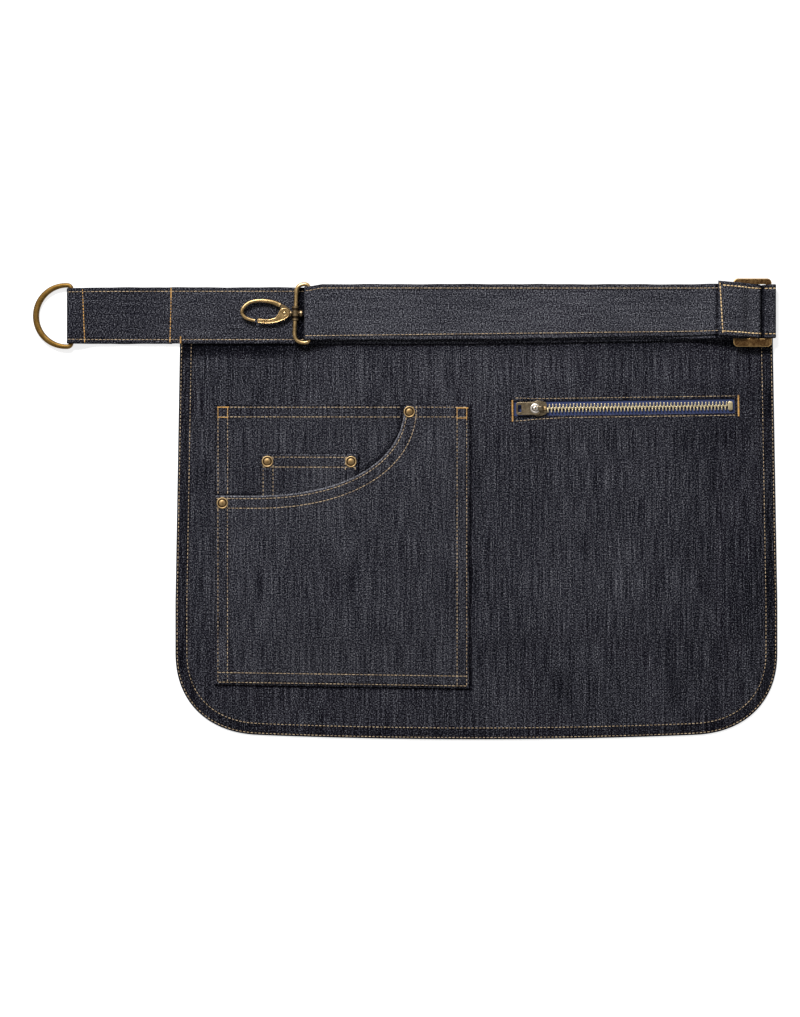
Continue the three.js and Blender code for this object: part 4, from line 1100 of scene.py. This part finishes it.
def sew_straps():
    tan, gold, bold = Threads(), Threads(), Threads()
    tail_points = tail_route()
    along = {"length": long_stitch}
    fold = ring_bar[0] - tail_turn * 0.75
    sew_strap(tan, tail_points, lambda p, h: (h > 0) & (p[:, 0] > fold) & (p[:, 1] > tail_mid - 0.0001), 1, **along)
    sew_strap(tan, tail_points, lambda p, h: (h < 0) & (p[:, 0] > ring_bar[0]), -1, lift=-thread, **along)
    sew_strap(tan, band_route(), lambda p, h: p[:, 0] < -0.110, 1, **along)
    route = adjuster_route()
    total = strap_sections(route)[0]
    order = np.arange(len(total))
    first = int(np.argmin(total[:, 0]))
    last = int(np.argmax(np.where(order > first, total[:, 0], -1)))
    groove = slider_x + outer_bar
    over_fold = lambda p, h: (order < first) & (p[:, 0] > groove - 0.0016) & (p[:, 1] > plate_z)
    sew_strap(bold, route, over_fold, 1, radius=0.00042, step=0.0027, length=0.0026)
    upper = lambda p, h: (order > first) & (order < last) & (p[:, 0] < sewn_end + 0.002)
    outer_loop = loop_bar[0] - loop_turn * 0.75
    sew_strap(tan, route, lambda p, h: upper(p, h) & ((p[:, 0] > outer_loop) & (p[:, 1] > loop_bar[1])), 1, **along)
    sewn = lambda p, h: (order > last) & (p[:, 0] > sewn_end + 0.002) & (p[:, 0] < groove - 0.0025)
    sew_strap(bold, route, sewn, 1, radius=0.00050, step=0.0028, length=0.0028)
    tail_half = int(np.argmin(strap_sections(tail_points)[0][:, 0]))
    for px, lean in ((83.9, -0.0009), (170.7, 0.0006)):
        x = px * 0.0008 - 0.32416
        face = upper_face(tail_points, x - centre_x, tail_half)
        under = (thread, face[1], face[2])
        tight = {"step": 0.0025, "length": 0.0025, "radius": 0.00042}
        cross_row(gold, x, lean, face, (0, 0, 1), **tight)
        cross_row(gold, x, lean, under, (0, 0, -1), **tight)
    x = 171.2 * 0.0008 - 0.32416
    top = tail_mid + strap / 2
    gold.tack((x, centre_y + band_width / 2 - 0.0005, top), (x, centre_y + band_width / 2 - 0.0085, top), 0.0014)
    x = 180.6 * 0.0008 - 0.32416
    low = centre_y - band_width / 2
    gold.tack((x, low + 0.0058, band_top), (x, low + 0.0002, band_top), 0.0013)
    x = sewn_end + centre_x + 0.0021
    z, mid, width = upper_face(route, sewn_end + 0.0021, last)
    half = width / 2 - 0.0012
    line = np.array([(x + 0.0016, mid - half, z + 0.0001), (x - 0.0008, mid + half, z + 0.0001)])
    bold.row(even(line), step=0.0028, length=0.0029, radius=0.00055)
    bold.piece("sewn_end_stitches", bold_thread, "strap_denim")
    return tan.piece("strap_stitches", tan_thread, "strap_denim"), gold.piece("strap_tacks", gold_thread, "strap_denim")


def on_pocket(line, level, drop_to, sewn, lift):
    """A line in pocket coordinates on a pocket's upper face, at a distance in from its sewn edge."""
    height = drop_to + (level - drop_to) * ease(sewn / 0.004) + patch + 0.00012
    if lift:
        height = height + pocket_lift(line[:, 0], line[:, 1])
    slid = np.stack([line[:, 0], line[:, 1] - pocket_drop(line[:, 0], line[:, 1])], 1)
    return raised(slid, height)


def sew_pockets():
    tan, gold = Threads(), Threads()
    right = pocket_width - pocket_left
    left = -pocket_left
    bottom = -pocket_top - pocket_height
    top = -pocket_top
    mouth = mouth_curve(72)
    brow = mouth[-1, 0]
    free = even(np.concatenate([[(left, mouth[0, 1])], mouth]), 0.003)
    line = lambda *points: even(np.array(points, float), 0.002)
    outer = lambda points, sewn: on_pocket(points, coin_level, cloth + 0.0001, sewn, True)
    inner = lambda points, sewn: on_pocket(points, inner_low.z, cloth + 0.00005, sewn, False)
    coin = lambda points, sewn: on_pocket(points, coin_low.z, inner_high.z + 0.00005, sewn, False)
    level = {"length": long_stitch}
    for row in pocket_rows:
        tan.row(outer(line((left + row, mouth[0, 1] - 0.001), (left + row, bottom + pocket_near)), row))
        tan.row(outer(line((right - row, top - 0.002), (right - row, bottom + pocket_near)), row))
        tan.row(outer(line((left + pocket_near, bottom + row), (right - pocket_near, bottom + row)), row), **level)
        curve = even(inward(free, -row), 0.001)
        curve = curve[(curve[:, 1] < top - 0.001) & (curve[:, 0] > left + 0.001)]
        sewn = np.minimum(curve[:, 0] - left, 0.01)
        tan.row(outer(curve, sewn), **level)
        tan.row(outer(line((brow + 0.005, top - row), (right - pocket_near, top - row)), row), **level)
    for row in (pocket_near, pocket_far):
        tan.row(inner(line((left + pocket_near, top - row), (brow - 0.003, top - row)), 0.004), **level)
        tan.row(inner(line((left + row, top - 0.002), (left + row, mouth[0, 1] + 0.001)), row))
    coin_x = coin_left - pocket_left
    coin_end = coin_x + coin_width
    coin_y = top - coin_top
    low = mouth[0, 1] - 0.004
    for row in (0.0026, 0.0105):
        tan.row(coin(line((coin_x + 0.002, coin_y - row), (coin_end - 0.002, coin_y - row)), 0.004), **level)
        tan.row(coin(line((coin_x + row, coin_y - 0.002), (coin_x + row, low)), row))
        tan.row(coin(line((coin_end - row, coin_y - 0.002), (coin_end - row, mouth[0, 1] + 0.02)), row))
    box = {"step": 0.0012, "length": 0.0016, "radius": 0.00036}
    for face, x0, x1, y in (
        (inner, left + pocket_near, left + pocket_far, top - pocket_near),
        (outer, right - pocket_far, right - pocket_near, top - pocket_near - 0.0006),
    ):
        ends = face(np.array([(x0 - 0.0005, y), (x1 + 0.0012, y)]), 0.004)
        gold.tack(ends[0], ends[1], 0.0011)
        for x in (x0, x1):
            gold.row(face(line((x, y), (x, y - 0.0092)), 0.004), **box)
        gold.row(face(line((x0, y - 0.0080), (x1, y - 0.0080)), 0.004), **box)
    return tan.piece("pocket_stitches", tan_thread, "denim"), gold.piece("pocket_tacks", gold_thread, "denim")


def zip_place(x, y):
    """A place in the zip's own frame, in the panel's frame."""
    turned_x = zip_x + x * np.cos(zip_tilt) - y * np.sin(zip_tilt)
    return turned_x, zip_y + x * np.sin(zip_tilt) + y * np.cos(zip_tilt)


def sew_zip():
    tan, gold = Threads(), Threads()
    half = window_length / 2
    for side, reach in ((1, 0.0086), (-1, 0.0084)):
        s = np.linspace(-half + 0.001, half - 0.001, 90)
        bulge = 0.0014 * (side < 0) * ease(1 - (s + half) / 0.05)
        x, y = zip_place(s, side * (reach + bulge - 0.0008 * ease((s + half) / 0.02)))
        line = np.stack([x + centre_x, y + centre_y, panel_top(x, y, False)], 1)
        tan.row(line, length=long_stitch, radius=0.00027)
    for end, low, high in ((-1, -0.0102, 0.0068), (1, -0.0085, 0.0085)):
        x, y = zip_place(np.full(2, end * (half + 0.0012)), np.array([low, high]))
        z = panel_top(x, y, False)
        points = np.stack([x + centre_x, y + centre_y, z], 1)
        gold.tack(points[0], points[1], 0.0015)
    return tan.piece("zip_stitches", tan_thread, "denim"), gold.piece("zip_tacks", gold_thread, "denim")


hem_stitches = sew_panel()
strap_stitches, strap_tacks = sew_straps()
pocket_stitches, pocket_tacks = sew_pockets()
zip_stitches, zip_tacks = sew_zip()


# Metal shapes
def tube(points, wide, thick, sides=20, closed=True, side_up=(0, 0, 1), squareness=2.0):
    """Vertices and faces of a bent bar. wide lies in its plane, thick stands out of it."""
    points = np.asarray(points, float)
    count = len(points)
    wide = np.broadcast_to(wide, (count,))
    thick = np.broadcast_to(thick, (count,))
    if closed:
        along = np.roll(points, -1, 0) - np.roll(points, 1, 0)
    else:
        along = np.gradient(points, axis=0)
    along = unit(along)
    up = np.broadcast_to(np.asarray(side_up, float), along.shape)
    across = unit(np.cross(up, along))
    up = unit(np.cross(along, across))
    turn = 2 * np.pi * (np.arange(sides) + 0.5) / sides
    power = 2 / squareness
    c = np.sign(np.cos(turn)) * np.abs(np.cos(turn)) ** power
    s = np.sign(np.sin(turn)) * np.abs(np.sin(turn)) ** power
    ring = points[:, None] + across[:, None] * (wide[:, None] / 2 * c)[..., None]
    ring = ring + up[:, None] * (thick[:, None] / 2 * s)[..., None]
    index = np.arange(count * sides).reshape(count, sides)
    nxt = np.roll(index, -1, axis=1)
    if closed:
        after, after_nxt = np.roll(index, -1, 0), np.roll(nxt, -1, 0)
        faces = np.stack([index, nxt, after_nxt, after], -1).reshape(-1, 4).tolist()
    else:
        faces = np.stack([index[:-1], nxt[:-1], nxt[1:], index[1:]], -1).reshape(-1, 4).tolist()
        faces += [index[0][::-1].tolist(), index[-1].tolist()]
    return ring.reshape(-1, 3), faces


def lathe(profile, sides=40, axis="z", squeeze=None):
    """Vertices and faces of a turned shape from (radius, height) pairs, closed at both ends."""
    profile = np.asarray(profile, float)
    turn = 2 * np.pi * np.arange(sides) / sides
    radius = profile[:, :1] * np.ones(sides)
    if squeeze is not None:
        radius = radius * squeeze(turn)
    x, y = radius * np.cos(turn), radius * np.sin(turn)
    z = profile[:, 1:] + 0 * turn
    order = {"z": (x, y, z), "y": (y, z, x), "x": (z, x, y)}[axis]
    vertices = np.stack(order, -1).reshape(-1, 3)
    index = np.arange(len(profile) * sides).reshape(-1, sides)
    nxt = np.roll(index, -1, axis=1)
    faces = np.stack([index[:-1], nxt[:-1], nxt[1:], index[1:]], -1).reshape(-1, 4).tolist()
    faces += [index[0][::-1].tolist(), index[-1].tolist()]
    return vertices, faces


def plate(outlines, thick, edge, steps=4):
    """A flat plate with rounded edges from closed outlines, the first one outside and others holes."""
    curve = bpy.data.curves.new("plate", "CURVE")
    curve.dimensions = "2D"
    curve.fill_mode = "BOTH"
    curve.extrude = thick / 2 - edge
    curve.bevel_depth = edge
    curve.bevel_resolution = steps
    curve.offset = -edge
    for outline in outlines:
        spline = curve.splines.new("POLY")
        spline.points.add(len(outline) - 1)
        for point, (x, y) in zip(spline.points, outline):
            point.co = (x, y, 0, 1)
        spline.use_cyclic_u = True
    holder = bpy.data.objects.new("plate", curve)
    bpy.context.scene.collection.objects.link(holder)
    bpy.context.view_layer.update()
    ready = holder.evaluated_get(bpy.context.evaluated_depsgraph_get())
    mesh = ready.to_mesh()
    vertices = np.array([v.co for v in mesh.vertices])
    faces = [list(p.vertices) for p in mesh.polygons]
    ready.to_mesh_clear()
    bpy.data.objects.remove(holder)
    bpy.data.curves.remove(curve)
    return vertices, faces


def merged(*shapes):
    vertices, faces, count = [], [], 0
    for points, cells in shapes:
        vertices.append(np.asarray(points))
        faces.extend([[k + count for k in cell] for cell in cells])
        count += len(points)
    return np.concatenate(vertices), faces


def moved(shape, by):
    return shape[0] + np.asarray(by, float), shape[1]


def turned(shape, angle, axis):
    c, s = np.cos(angle), np.sin(angle)
    spin = {
        "x": [[1, 0, 0], [0, c, -s], [0, s, c]],
        "y": [[c, 0, s], [0, 1, 0], [-s, 0, c]],
        "z": [[c, -s, 0], [s, c, 0], [0, 0, 1]],
    }[axis]
    return shape[0] @ np.array(spin).T, shape[1]


def metal(name, shape, material, body, slot, replaced=(), fields=None):
    piece = make(name, *shape, material, body, slot, replaced, fields)
    mesh = piece.data
    work = bmesh.new()
    work.from_mesh(mesh)
    bmesh.ops.remove_doubles(work, verts=work.verts, dist=1e-6)
    work.to_mesh(mesh)
    work.free()
    mesh.polygons.foreach_set("use_smooth", [True] * len(mesh.polygons))
    mesh.set_sharp_from_angle(angle=np.radians(40))
    modifier = piece.modifiers.new("even normals", "WEIGHTED_NORMAL")
    modifier.keep_sharp = True
    return piece


def rounded_box(width, height, corner, steps=6):
    found = []
    for k, (sx, sy) in enumerate(((1, 1), (-1, 1), (-1, -1), (1, -1))):
        turn = np.radians(90 * k + np.linspace(0, 90, steps + 1))
        x = sx * (width / 2 - corner) + corner * np.cos(turn)
        y = sy * (height / 2 - corner) + corner * np.sin(turn)
        found.append(np.stack([x, y], 1))
    return np.concatenate(found)


def smooth_line(points, count):
    """A smooth curve through points, by Catmull and Rom."""
    points = np.asarray(points, float)
    padded = np.concatenate([[2 * points[0] - points[1]], points, [2 * points[-1] - points[-2]]])
    t = np.linspace(0, len(points) - 1 - 1e-9, count)
    k = t.astype(int)
    s = (t - k)[:, None]
    a, b, c, d = padded[k], padded[k + 1], padded[k + 2], padded[k + 3]
    return 0.5 * (2 * b + (c - a) * s + (2 * a - 5 * b + 4 * c - d) * s**2 + (3 * b - a - 3 * c + d) * s**3)


def build_ring():
    half = (band_width * band_lay[0][2] + ring_wire) / 2 + ring_side_gap
    arm = max(ring_reach - half, ring_corner)
    path = joined(
        (0, -half + ring_corner), (0, half - ring_corner),
        arc((-ring_corner, half - ring_corner), ring_corner, 0, 90, 10), (-arm, half),
        arc((-arm, 0), half, 90, 270, 60), (-ring_corner, -half),
        arc((-ring_corner, -half + ring_corner), ring_corner, 270, 359.9, 10))
    path = even(np.concatenate([path, path[:1]]), 0.0012)[:-1]
    wide = ring_wire + (ring_wide_wire - ring_wire) * ease(-path[:, 0] / ring_reach)
    points = np.concatenate([path, np.zeros((len(path), 1))], 1)
    shape = tube(points, wide, ring_wire, 24, squareness=2.5)
    droop = np.arcsin((ring_bar[1] - ring_wire / 2 - gap / 2) / ring_reach)
    shape = turned(shape, -droop, "y")
    place = (ring_bar[0] + centre_x, ring_rise + centre_y, ring_bar[1])
    return metal("d_ring_brass", moved(shape, place), ring_brass, "ring", "antique_brass", ["d_ring"])


def build_slider():
    slot = outer_bar - bar_half
    outlines = [rounded_box(slider_across, slider_tall, slider_corner, 8)]
    middle = (slider_low.y + slider_high.y) / 2
    strap_middle = band_lay[-1][1] * band_width + centre_y
    for side in (-1, 1):
        hole = rounded_box(slot, band_lay[-1][2] * band_width + 0.0002, 0.0008, 4)
        hole = hole + np.array([side * (bar_half + slot / 2), strap_middle - middle - 0.00025])
        outlines.append(hole)
    shape = plate(outlines, slider_plate, 0.0007)
    # The bevelled edges are marked as rim and lightened by the material: edge wear and a painted highlight.
    rim = np.abs(shape[0][:, 2]) < slider_plate / 2 - 0.00001
    shape = moved(shape, (slider_x + centre_x, middle, plate_z))
    return metal(
        "strap_slider_brass", shape, old_brass, "apron", "antique_brass", ["slider_buckle"],
        {"rim": rim.astype(float)})


loop_half = (band_width * return_lay[0][2] + 2 * gap + loop_wire) / 2
boss_x = -(loop_reach_top + loop_reach_bottom) / 2
clasp_place = np.array([loop_bar[0] + centre_x, clasp_rise + centre_y, loop_bar[1]])


def bend(start, corner, end, steps=12):
    t = np.linspace(0, 1, steps + 1)[:, None]
    start, corner, end = (np.asarray(p, float) for p in (start, corner, end))
    return start * (1 - t) ** 2 + 2 * corner * t * (1 - t) + end * t**2


def build_loop():
    inner = loop_wire / 2 + 0.001
    side = unit(np.array([loop_reach_top - loop_reach_bottom, -2 * loop_half]))
    top_end = np.array([-loop_reach_top, loop_half]) + side * loop_corner
    low_corner = loop_reach_bottom - inner - 0.0004
    low_end = np.array([-loop_reach_bottom, -loop_half]) - side * low_corner
    path = joined(
        (0, -loop_half + inner), (0, loop_half - inner),
        bend((0, loop_half - inner), (0, loop_half), (-inner, loop_half)),
        (-loop_reach_top + loop_corner, loop_half),
        bend((-loop_reach_top + loop_corner, loop_half), (-loop_reach_top, loop_half), top_end),
        low_end,
        bend(low_end, (-loop_reach_bottom, -loop_half), (-loop_reach_bottom + low_corner, -loop_half)),
        (-inner, -loop_half),
        bend((-inner, -loop_half), (0, -loop_half), (0, -loop_half + inner))[:-1])
    path = even(np.concatenate([path, path[:1]]), 0.0009)[:-1]
    wire = tube(np.concatenate([path, np.zeros((len(path), 1))], 1), loop_wire, loop_wire, 20)
    r, h = boss_radius, boss_length / 2
    profile = [(0.0004, -h), (0.8 * r, -h), (0.97 * r, -0.93 * h), (0.97 * r, -0.72 * h), (0.86 * r, -0.66 * h),
               (0.86 * r, -0.42 * h), (r, -0.34 * h), (r, 0.34 * h), (0.86 * r, 0.42 * h), (0.86 * r, 0.66 * h),
               (0.97 * r, 0.72 * h), (0.97 * r, 0.93 * h), (0.8 * r, h), (0.0004, h)]
    boss = moved(lathe(profile, 36, "y"), (boss_x, 0, 0))
    metal("clasp_boss_brass", moved(boss, clasp_place), painted_shade_brass, "loop", "light_brass")
    return metal("clasp_loop_brass", moved(wire, clasp_place), pale_brass, "loop", "light_brass", ["clasp_loop"])


# Columns: share of the hook's length along and across, from the boss
hook_line = [(0.275, 0.148), (0.417, 0.204), (0.62, 0.232), (0.81, 0.204), (0.93, 0.118), (0.968, 0.02),
             (0.92, -0.062), (0.82, -0.11), (0.735, -0.129)]
neck_line = [(0.3, 0.19), (0.2, 0.15), (0.105, 0.085), (0.079, 0.045), (0.079, -0.045), (0.15, -0.071),
             (0.24, -0.039), (0.249, 0.051), (0.29, 0.125)]
gate_under = [(0.69, -0.166), (0.54, -0.182), (0.36, -0.168), (0.2, -0.118), (0.115, -0.05)]
gate_over = [(0.37, -0.095), (0.5, -0.125), (0.69, -0.107)]
pivot = np.array([-0.195 * hook_length, 0.006 * hook_length])
teardrop_radius = 0.0042
hook_place = clasp_place + np.array([boss_x, 0, 0])


def on_hook(table):
    return np.array([(-a * hook_length, b * hook_length) for a, b in table])


def build_hook():
    line = smooth_line(on_hook(hook_line), 60)
    reach = np.linspace(0, 1, len(line))
    wide = hook_band * (1 + 0.32 * ease(1 - reach / 0.28)) * (1 - 0.12 * ease((reach - 0.8) / 0.2))
    bow = tube(np.concatenate([line, np.zeros((60, 1))], 1), wide, hook_thick, 20, False, squareness=2.6)
    cheek_thick = hook_thick / 2 - gap / 2
    cheek = plate([on_hook(neck_line)], cheek_thick, 0.0003, 3)
    cheek = moved(cheek, (0, 0, -(hook_thick - cheek_thick) / 2))
    r = stem_radius
    front, back = -boss_radius - gap - 0.0008, boss_radius + gap
    stem = lathe([(0.0003, front), (2 * r, front), (2 * r, front + 0.0006), (r, front + 0.0009),
                  (r, back - 0.0002), (stem_head * 0.8, back), (stem_head, back + 0.0005),
                  (stem_head, back + 0.0020), (stem_head * 0.7, back + 0.0027), (0.0003, back + 0.0028)], 28, "x")
    pin = lathe([(0.0002, -hook_thick / 2), (0.0011, -hook_thick / 2), (0.0011, hook_thick / 2 - 0.0003),
                 (0.0008, hook_thick / 2 - 0.0001), (0.0002, hook_thick / 2)], 24)
    pin = moved(pin, (pivot[0], pivot[1], 0))
    metal("clasp_neck_brass", moved(merged(cheek, stem), hook_place), painted_shade_brass, "hook", "light_brass")
    shape = moved(merged(bow, pin), hook_place)
    return metal("clasp_hook_brass", shape, pale_brass, "hook", "light_brass", ["clasp_hook"])


def build_gate():
    under = smooth_line(on_hook(gate_under), 24)
    turn = np.radians(np.linspace(-18, 150, 24))
    drop = np.stack([pivot[0] + teardrop_radius * np.cos(turn), pivot[1] + teardrop_radius * np.sin(turn)], 1)
    outline = np.concatenate([under, drop, on_hook(gate_over)])
    hole = pivot + 0.00145 * np.stack([np.cos(np.linspace(0, 2 * np.pi, 25)[:-1]),
                                       np.sin(np.linspace(0, 2 * np.pi, 25)[:-1])], 1)
    upper = hook_thick / 2
    lower = hook_thick / 2 - gap / 2 + gap - hook_thick / 2
    arm = plate([outline, hole], upper - lower - 0.0005, 0.0004, 3)
    arm = moved(arm, (0, 0, (upper + lower - 0.0005) / 2))
    rim = even(np.concatenate([outline, outline[:1]]), 0.0007)[:-1]
    centre = np.array([-0.28 * hook_length, -0.045 * hook_length])
    rim = rim + unit(centre - rim) * 0.0006
    rim_points = np.concatenate([rim, np.full((len(rim), 1), upper - 0.0007)], 1)
    rim_tube = tube(rim_points, 0.0011, 0.0013, 10)
    shape = moved(merged(arm, rim_tube), hook_place)
    return metal("clasp_gate_brass", shape, pale_brass, "gate", "light_brass", ["clasp_gate"])


def build_rivet(number):
    low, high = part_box(f"rivet_{number}")
    r, h = rivet_radius, rivet_height
    profile = [(0.0003, 0), (0.96 * r, 0), (r, 0.12 * h), (r, 0.3 * h), (0.97 * r, 0.44 * h),
               (0.91 * r, 0.52 * h), (0.84 * r, 0.5 * h), (0.77 * r, 0.34 * h), (0.69 * r, 0.24 * h),
               (0.64 * r, 0.26 * h), (0.61 * r, 0.5 * h), (0.54 * r, 0.72 * h), (0.42 * r, 0.87 * h),
               (0.28 * r, 0.95 * h), (0.12 * r, 0.99 * h), (0.0003, h)]
    shape = moved(lathe(profile, 48), ((low.x + high.x) / 2, (low.y + high.y) / 2, low.z))
    name = f"rivet_cap_{number}"
    return metal(name, shape, rivet_brass, "apron", "rivet_brass", [f"rivet_{number}"])


def chamfered(length, width, height, chamfer):
    """A block with its edges cut off, centred on the origin."""
    outline = rounded_box(length, width, chamfer, 2)
    return plate([outline], height, chamfer * 0.8, 1)


def in_zip(shape):
    turned_shape = turned(shape, zip_tilt, "z")
    return moved(turned_shape, (zip_x + centre_x, zip_y + centre_y, 0))


def build_chain():
    teeth = round(chain_length / tooth_pitch)
    start = chain_end - chain_length
    root, tip, nose_tip = tooth_reach, 0.0010, -0.0004
    block = chamfered(tooth_width * 0.62, root - tip, chain_thick, 0.0003)
    nose = chamfered(tooth_width * 0.95, tip - nose_tip + 0.0003, chain_thick * 0.85, 0.0003)
    z = tape_top + gap + chain_thick / 2
    shapes = []
    for sign, shift in ((-1, 0.5 - tooth_stagger), (1, 0.5 + tooth_stagger)):
        for k in range(teeth):
            x = start + (k + shift) * tooth_pitch
            jitter = random.uniform(-0.00006, 0.00006)
            shapes.append(moved(block, (x + jitter, sign * (root + tip) / 2, z)))
            shapes.append(moved(nose, (x + jitter, sign * (tip + nose_tip + 0.0003) / 2, z)))
    return metal("zip_teeth", in_zip(merged(*shapes)), tooth_brass, "apron", "zip_brass", ["zip_chain"])


zip_slider_length = 0.0126
zip_slider_width = 0.0108
zip_slider_cap = 0.0124
zip_cap_thick = 0.0011
bridge_length = 0.008
bridge_width = 0.0036
pull_length = 0.019
pull_width = 0.0104
pull_thick = 0.0012
slider_base = tape_top + gap
cap_low = zip_panel_top + gap
cap_top = cap_low + zip_cap_thick
zip_slider_x = chain_end - chain_length - gap - zip_slider_length / 2
eye_swing = np.sqrt(0.5) * pull_thick
pull_z = cap_top + gap + eye_swing
bridge_x = zip_slider_x + 0.0002


def build_zip_slider():
    body_height = cap_low - slider_base + 0.0002
    body = moved(plate([rounded_box(zip_slider_length, zip_slider_width, 0.002)], body_height, 0.0003, 2),
                 (zip_slider_x, 0, slider_base + body_height / 2))
    wing = zip_slider_cap / 2
    half = zip_slider_length / 2
    outline = smooth_line([(-half, 0), (-half * 0.9, wing * 0.6), (-half * 0.3, wing), (half * 0.4, wing * 0.94),
                           (half, wing * 0.62), (half, 0), (half, -wing * 0.62), (half * 0.4, -wing * 0.94),
                           (-half * 0.3, -wing), (-half * 0.9, -wing * 0.6), (-half, 0)], 60)[:-1]
    cap = moved(plate([outline], zip_cap_thick, 0.0004, 3), (zip_slider_x, 0, cap_low + zip_cap_thick / 2))
    top = pull_z + eye_swing + gap + 0.0008
    reach = bridge_length / 2 - 0.0006
    path = [(-reach, 0, cap_top - 0.0004), (-reach, 0, pull_z), (-reach * 0.6, 0, top - 0.0005),
            (0, 0, top - 0.0004), (reach * 0.6, 0, top - 0.0005), (reach, 0, pull_z), (reach, 0, cap_top - 0.0004)]
    arch = tube(smooth_line(path, 30), 0.0008, bridge_width, 16, False, side_up=(0, 1, 0), squareness=3)
    arch = moved(arch, (bridge_x, 0, 0))
    metal("zip_slider_bridge", in_zip(arch), pull_brass, "apron", "zip_brass")
    r = 0.0020
    button = lathe([(0.0003, pull_z), (0.8 * r, pull_z), (r, pull_z + 0.0004), (r, top - 0.0003), (0.9 * r, top + 0.0001),
                    (0.75 * r, top + 0.0003), (0.3 * r, top + 0.0003), (0.0003, top + 0.0003)], 32)
    # The hollow is a dark disc standing slightly proud of the button in place of a recess: its darkness is painted
    # shade.
    hollow = lathe([(0.0003, top - 0.0002), (0.00085, top - 0.0002), (0.00085, top + 0.00034), (0.0003, top + 0.00034)],
                   24, squeeze=lambda t: (0.8 + 0.45 * np.sin(t) ** 2)[None])
    button_x = bridge_x - 0.00295
    metal("zip_slider_button", in_zip(moved(button, (button_x, 0, 0))), worn_nickel, "apron", "zip_brass")
    metal("zip_slider_hollow", in_zip(moved(hollow, (button_x, 0, 0))), painted_shade_brass, "apron", "zip_brass")
    low = cap_top - 0.0002
    boss = lathe([(0.0003, low), (0.0017, low), (0.0017, low + 0.0006), (0.0013, low + 0.0011),
                  (0.0003, low + 0.0013)], 28)
    boss = moved(boss, (bridge_x + bridge_length / 2 + 0.0006, 0, 0))
    metal("zip_slider_stud", in_zip(boss), rivet_brass, "apron", "zip_brass")
    shape = in_zip(merged(body, cap))
    return metal("zip_slider_brass", shape, pull_brass, "apron", "zip_brass", ["zip_slider"])


def build_pull():
    """The tab lies to the left of its hinge. A worn collar rings its eye."""
    centre = pull_thick / 2 - pull_length / 2
    bar = -pull_thick / 2
    wide = bridge_width / 2 + 0.0005
    round_x = bar - 0.0026
    half_turn = np.radians(np.linspace(90, 270, 17))
    eye = np.concatenate([
        [(bar, -wide), (bar, wide)],
        np.stack([round_x + wide * np.cos(half_turn), wide * np.sin(half_turn)], 1)])
    slot = rounded_box(0.0026, 0.0056, 0.0006, 4) + np.array([0.0029 - pull_length / 2, 0])
    outline = rounded_box(pull_length, pull_width, 0.002, 6)
    shift = np.array([centre, 0])
    tab = moved(plate([outline, eye - shift, slot], pull_thick, 0.00035, 3), (centre, 0, 0))
    open_turn = np.radians(np.linspace(38, 322, 33))
    ring_line = np.stack([
        round_x + (wide + 0.0008) * np.cos(open_turn), (wide + 0.0008) * np.sin(open_turn),
        np.full(33, pull_thick / 2 + 0.00005)], 1)
    collar = tube(ring_line, 0.0015, 0.0007, 14, False, squareness=2.4)
    place = lambda shape: in_zip(moved(turned(shape, -np.radians(3), "y"), (bridge_x, 0, pull_z)))
    metal("zip_pull_collar", place(collar), worn_nickel, "pull", "antique_brass")
    return metal("zip_pull_tab", place(tab), pull_brass, "pull", "antique_brass", ["zip_pull"])


def build_stop():
    block = chamfered(0.0038, 0.0066, chain_thick, 0.0006)
    claw = chamfered(0.0022, 0.0074, chain_thick * 0.7, 0.0004)
    x = chain_end + gap + 0.0019
    z = slider_base + chain_thick / 2
    shape = in_zip(merged(moved(block, (x, 0, z)), moved(claw, (x, 0, z - 0.0003))))
    return metal("zip_end_stop", shape, tooth_brass, "apron", "zip_brass", ["zip_stop"])


ring = build_ring()
slider = build_slider()
loop = build_loop()
hook = build_hook()
gate = build_gate()
rivets = [build_rivet(number) for number in (1, 2, 3, 4)]
chain = build_chain()
zip_slider = build_zip_slider()
pull = build_pull()
stop = build_stop()

# Floor, light and camera
floor_mesh = bpy.data.meshes.new("floor")
reach = 4.0
floor_mesh.from_pydata([(-reach, -reach, 0), (reach, -reach, 0), (reach, reach, 0), (-reach, reach, 0)], [],
                       [(0, 1, 2, 3)])
floor = bpy.data.objects.new("floor", floor_mesh)
floor_mesh.materials.append(floor_paper())
bpy.context.scene.collection.objects.link(floor)
floor.location.z = -0.0002


def softbox(name, place, target, size, power, colour=(1, 1, 1)):
    light = bpy.data.lights.new(name, "AREA")
    light.shape = "RECTANGLE"
    light.size, light.size_y = size
    light.energy = power
    light.color = colour
    lamp = bpy.data.objects.new(name, light)
    bpy.context.scene.collection.objects.link(lamp)
    lamp.location = place
    lamp.rotation_euler = (Vector(target) - Vector(place)).to_track_quat("-Z", "Y").to_euler()


softbox("key", (-0.55, 1.5, 1.6), (0, 0, 0), (0.7, 0.5), 80)
world = bpy.data.worlds.new("studio")
world.use_nodes = True
world.node_tree.nodes["Background"].inputs[0].default_value = (1, 1, 1, 1)
world.node_tree.nodes["Background"].inputs[1].default_value = 0.38
bpy.context.scene.world = world
bpy.context.scene.view_settings.view_transform = "Standard"

photo_height = 0.8136
lens = 100
camera_data = bpy.data.cameras.new("camera")
camera_data.lens = lens
camera_data.sensor_width = 36
camera_data.clip_end = 20
camera = bpy.data.objects.new("camera", camera_data)
bpy.context.scene.collection.objects.link(camera)
camera.location = (-0.00416, 0.0006, lens / 36 * photo_height + 0.003)
bpy.context.scene.camera = camera
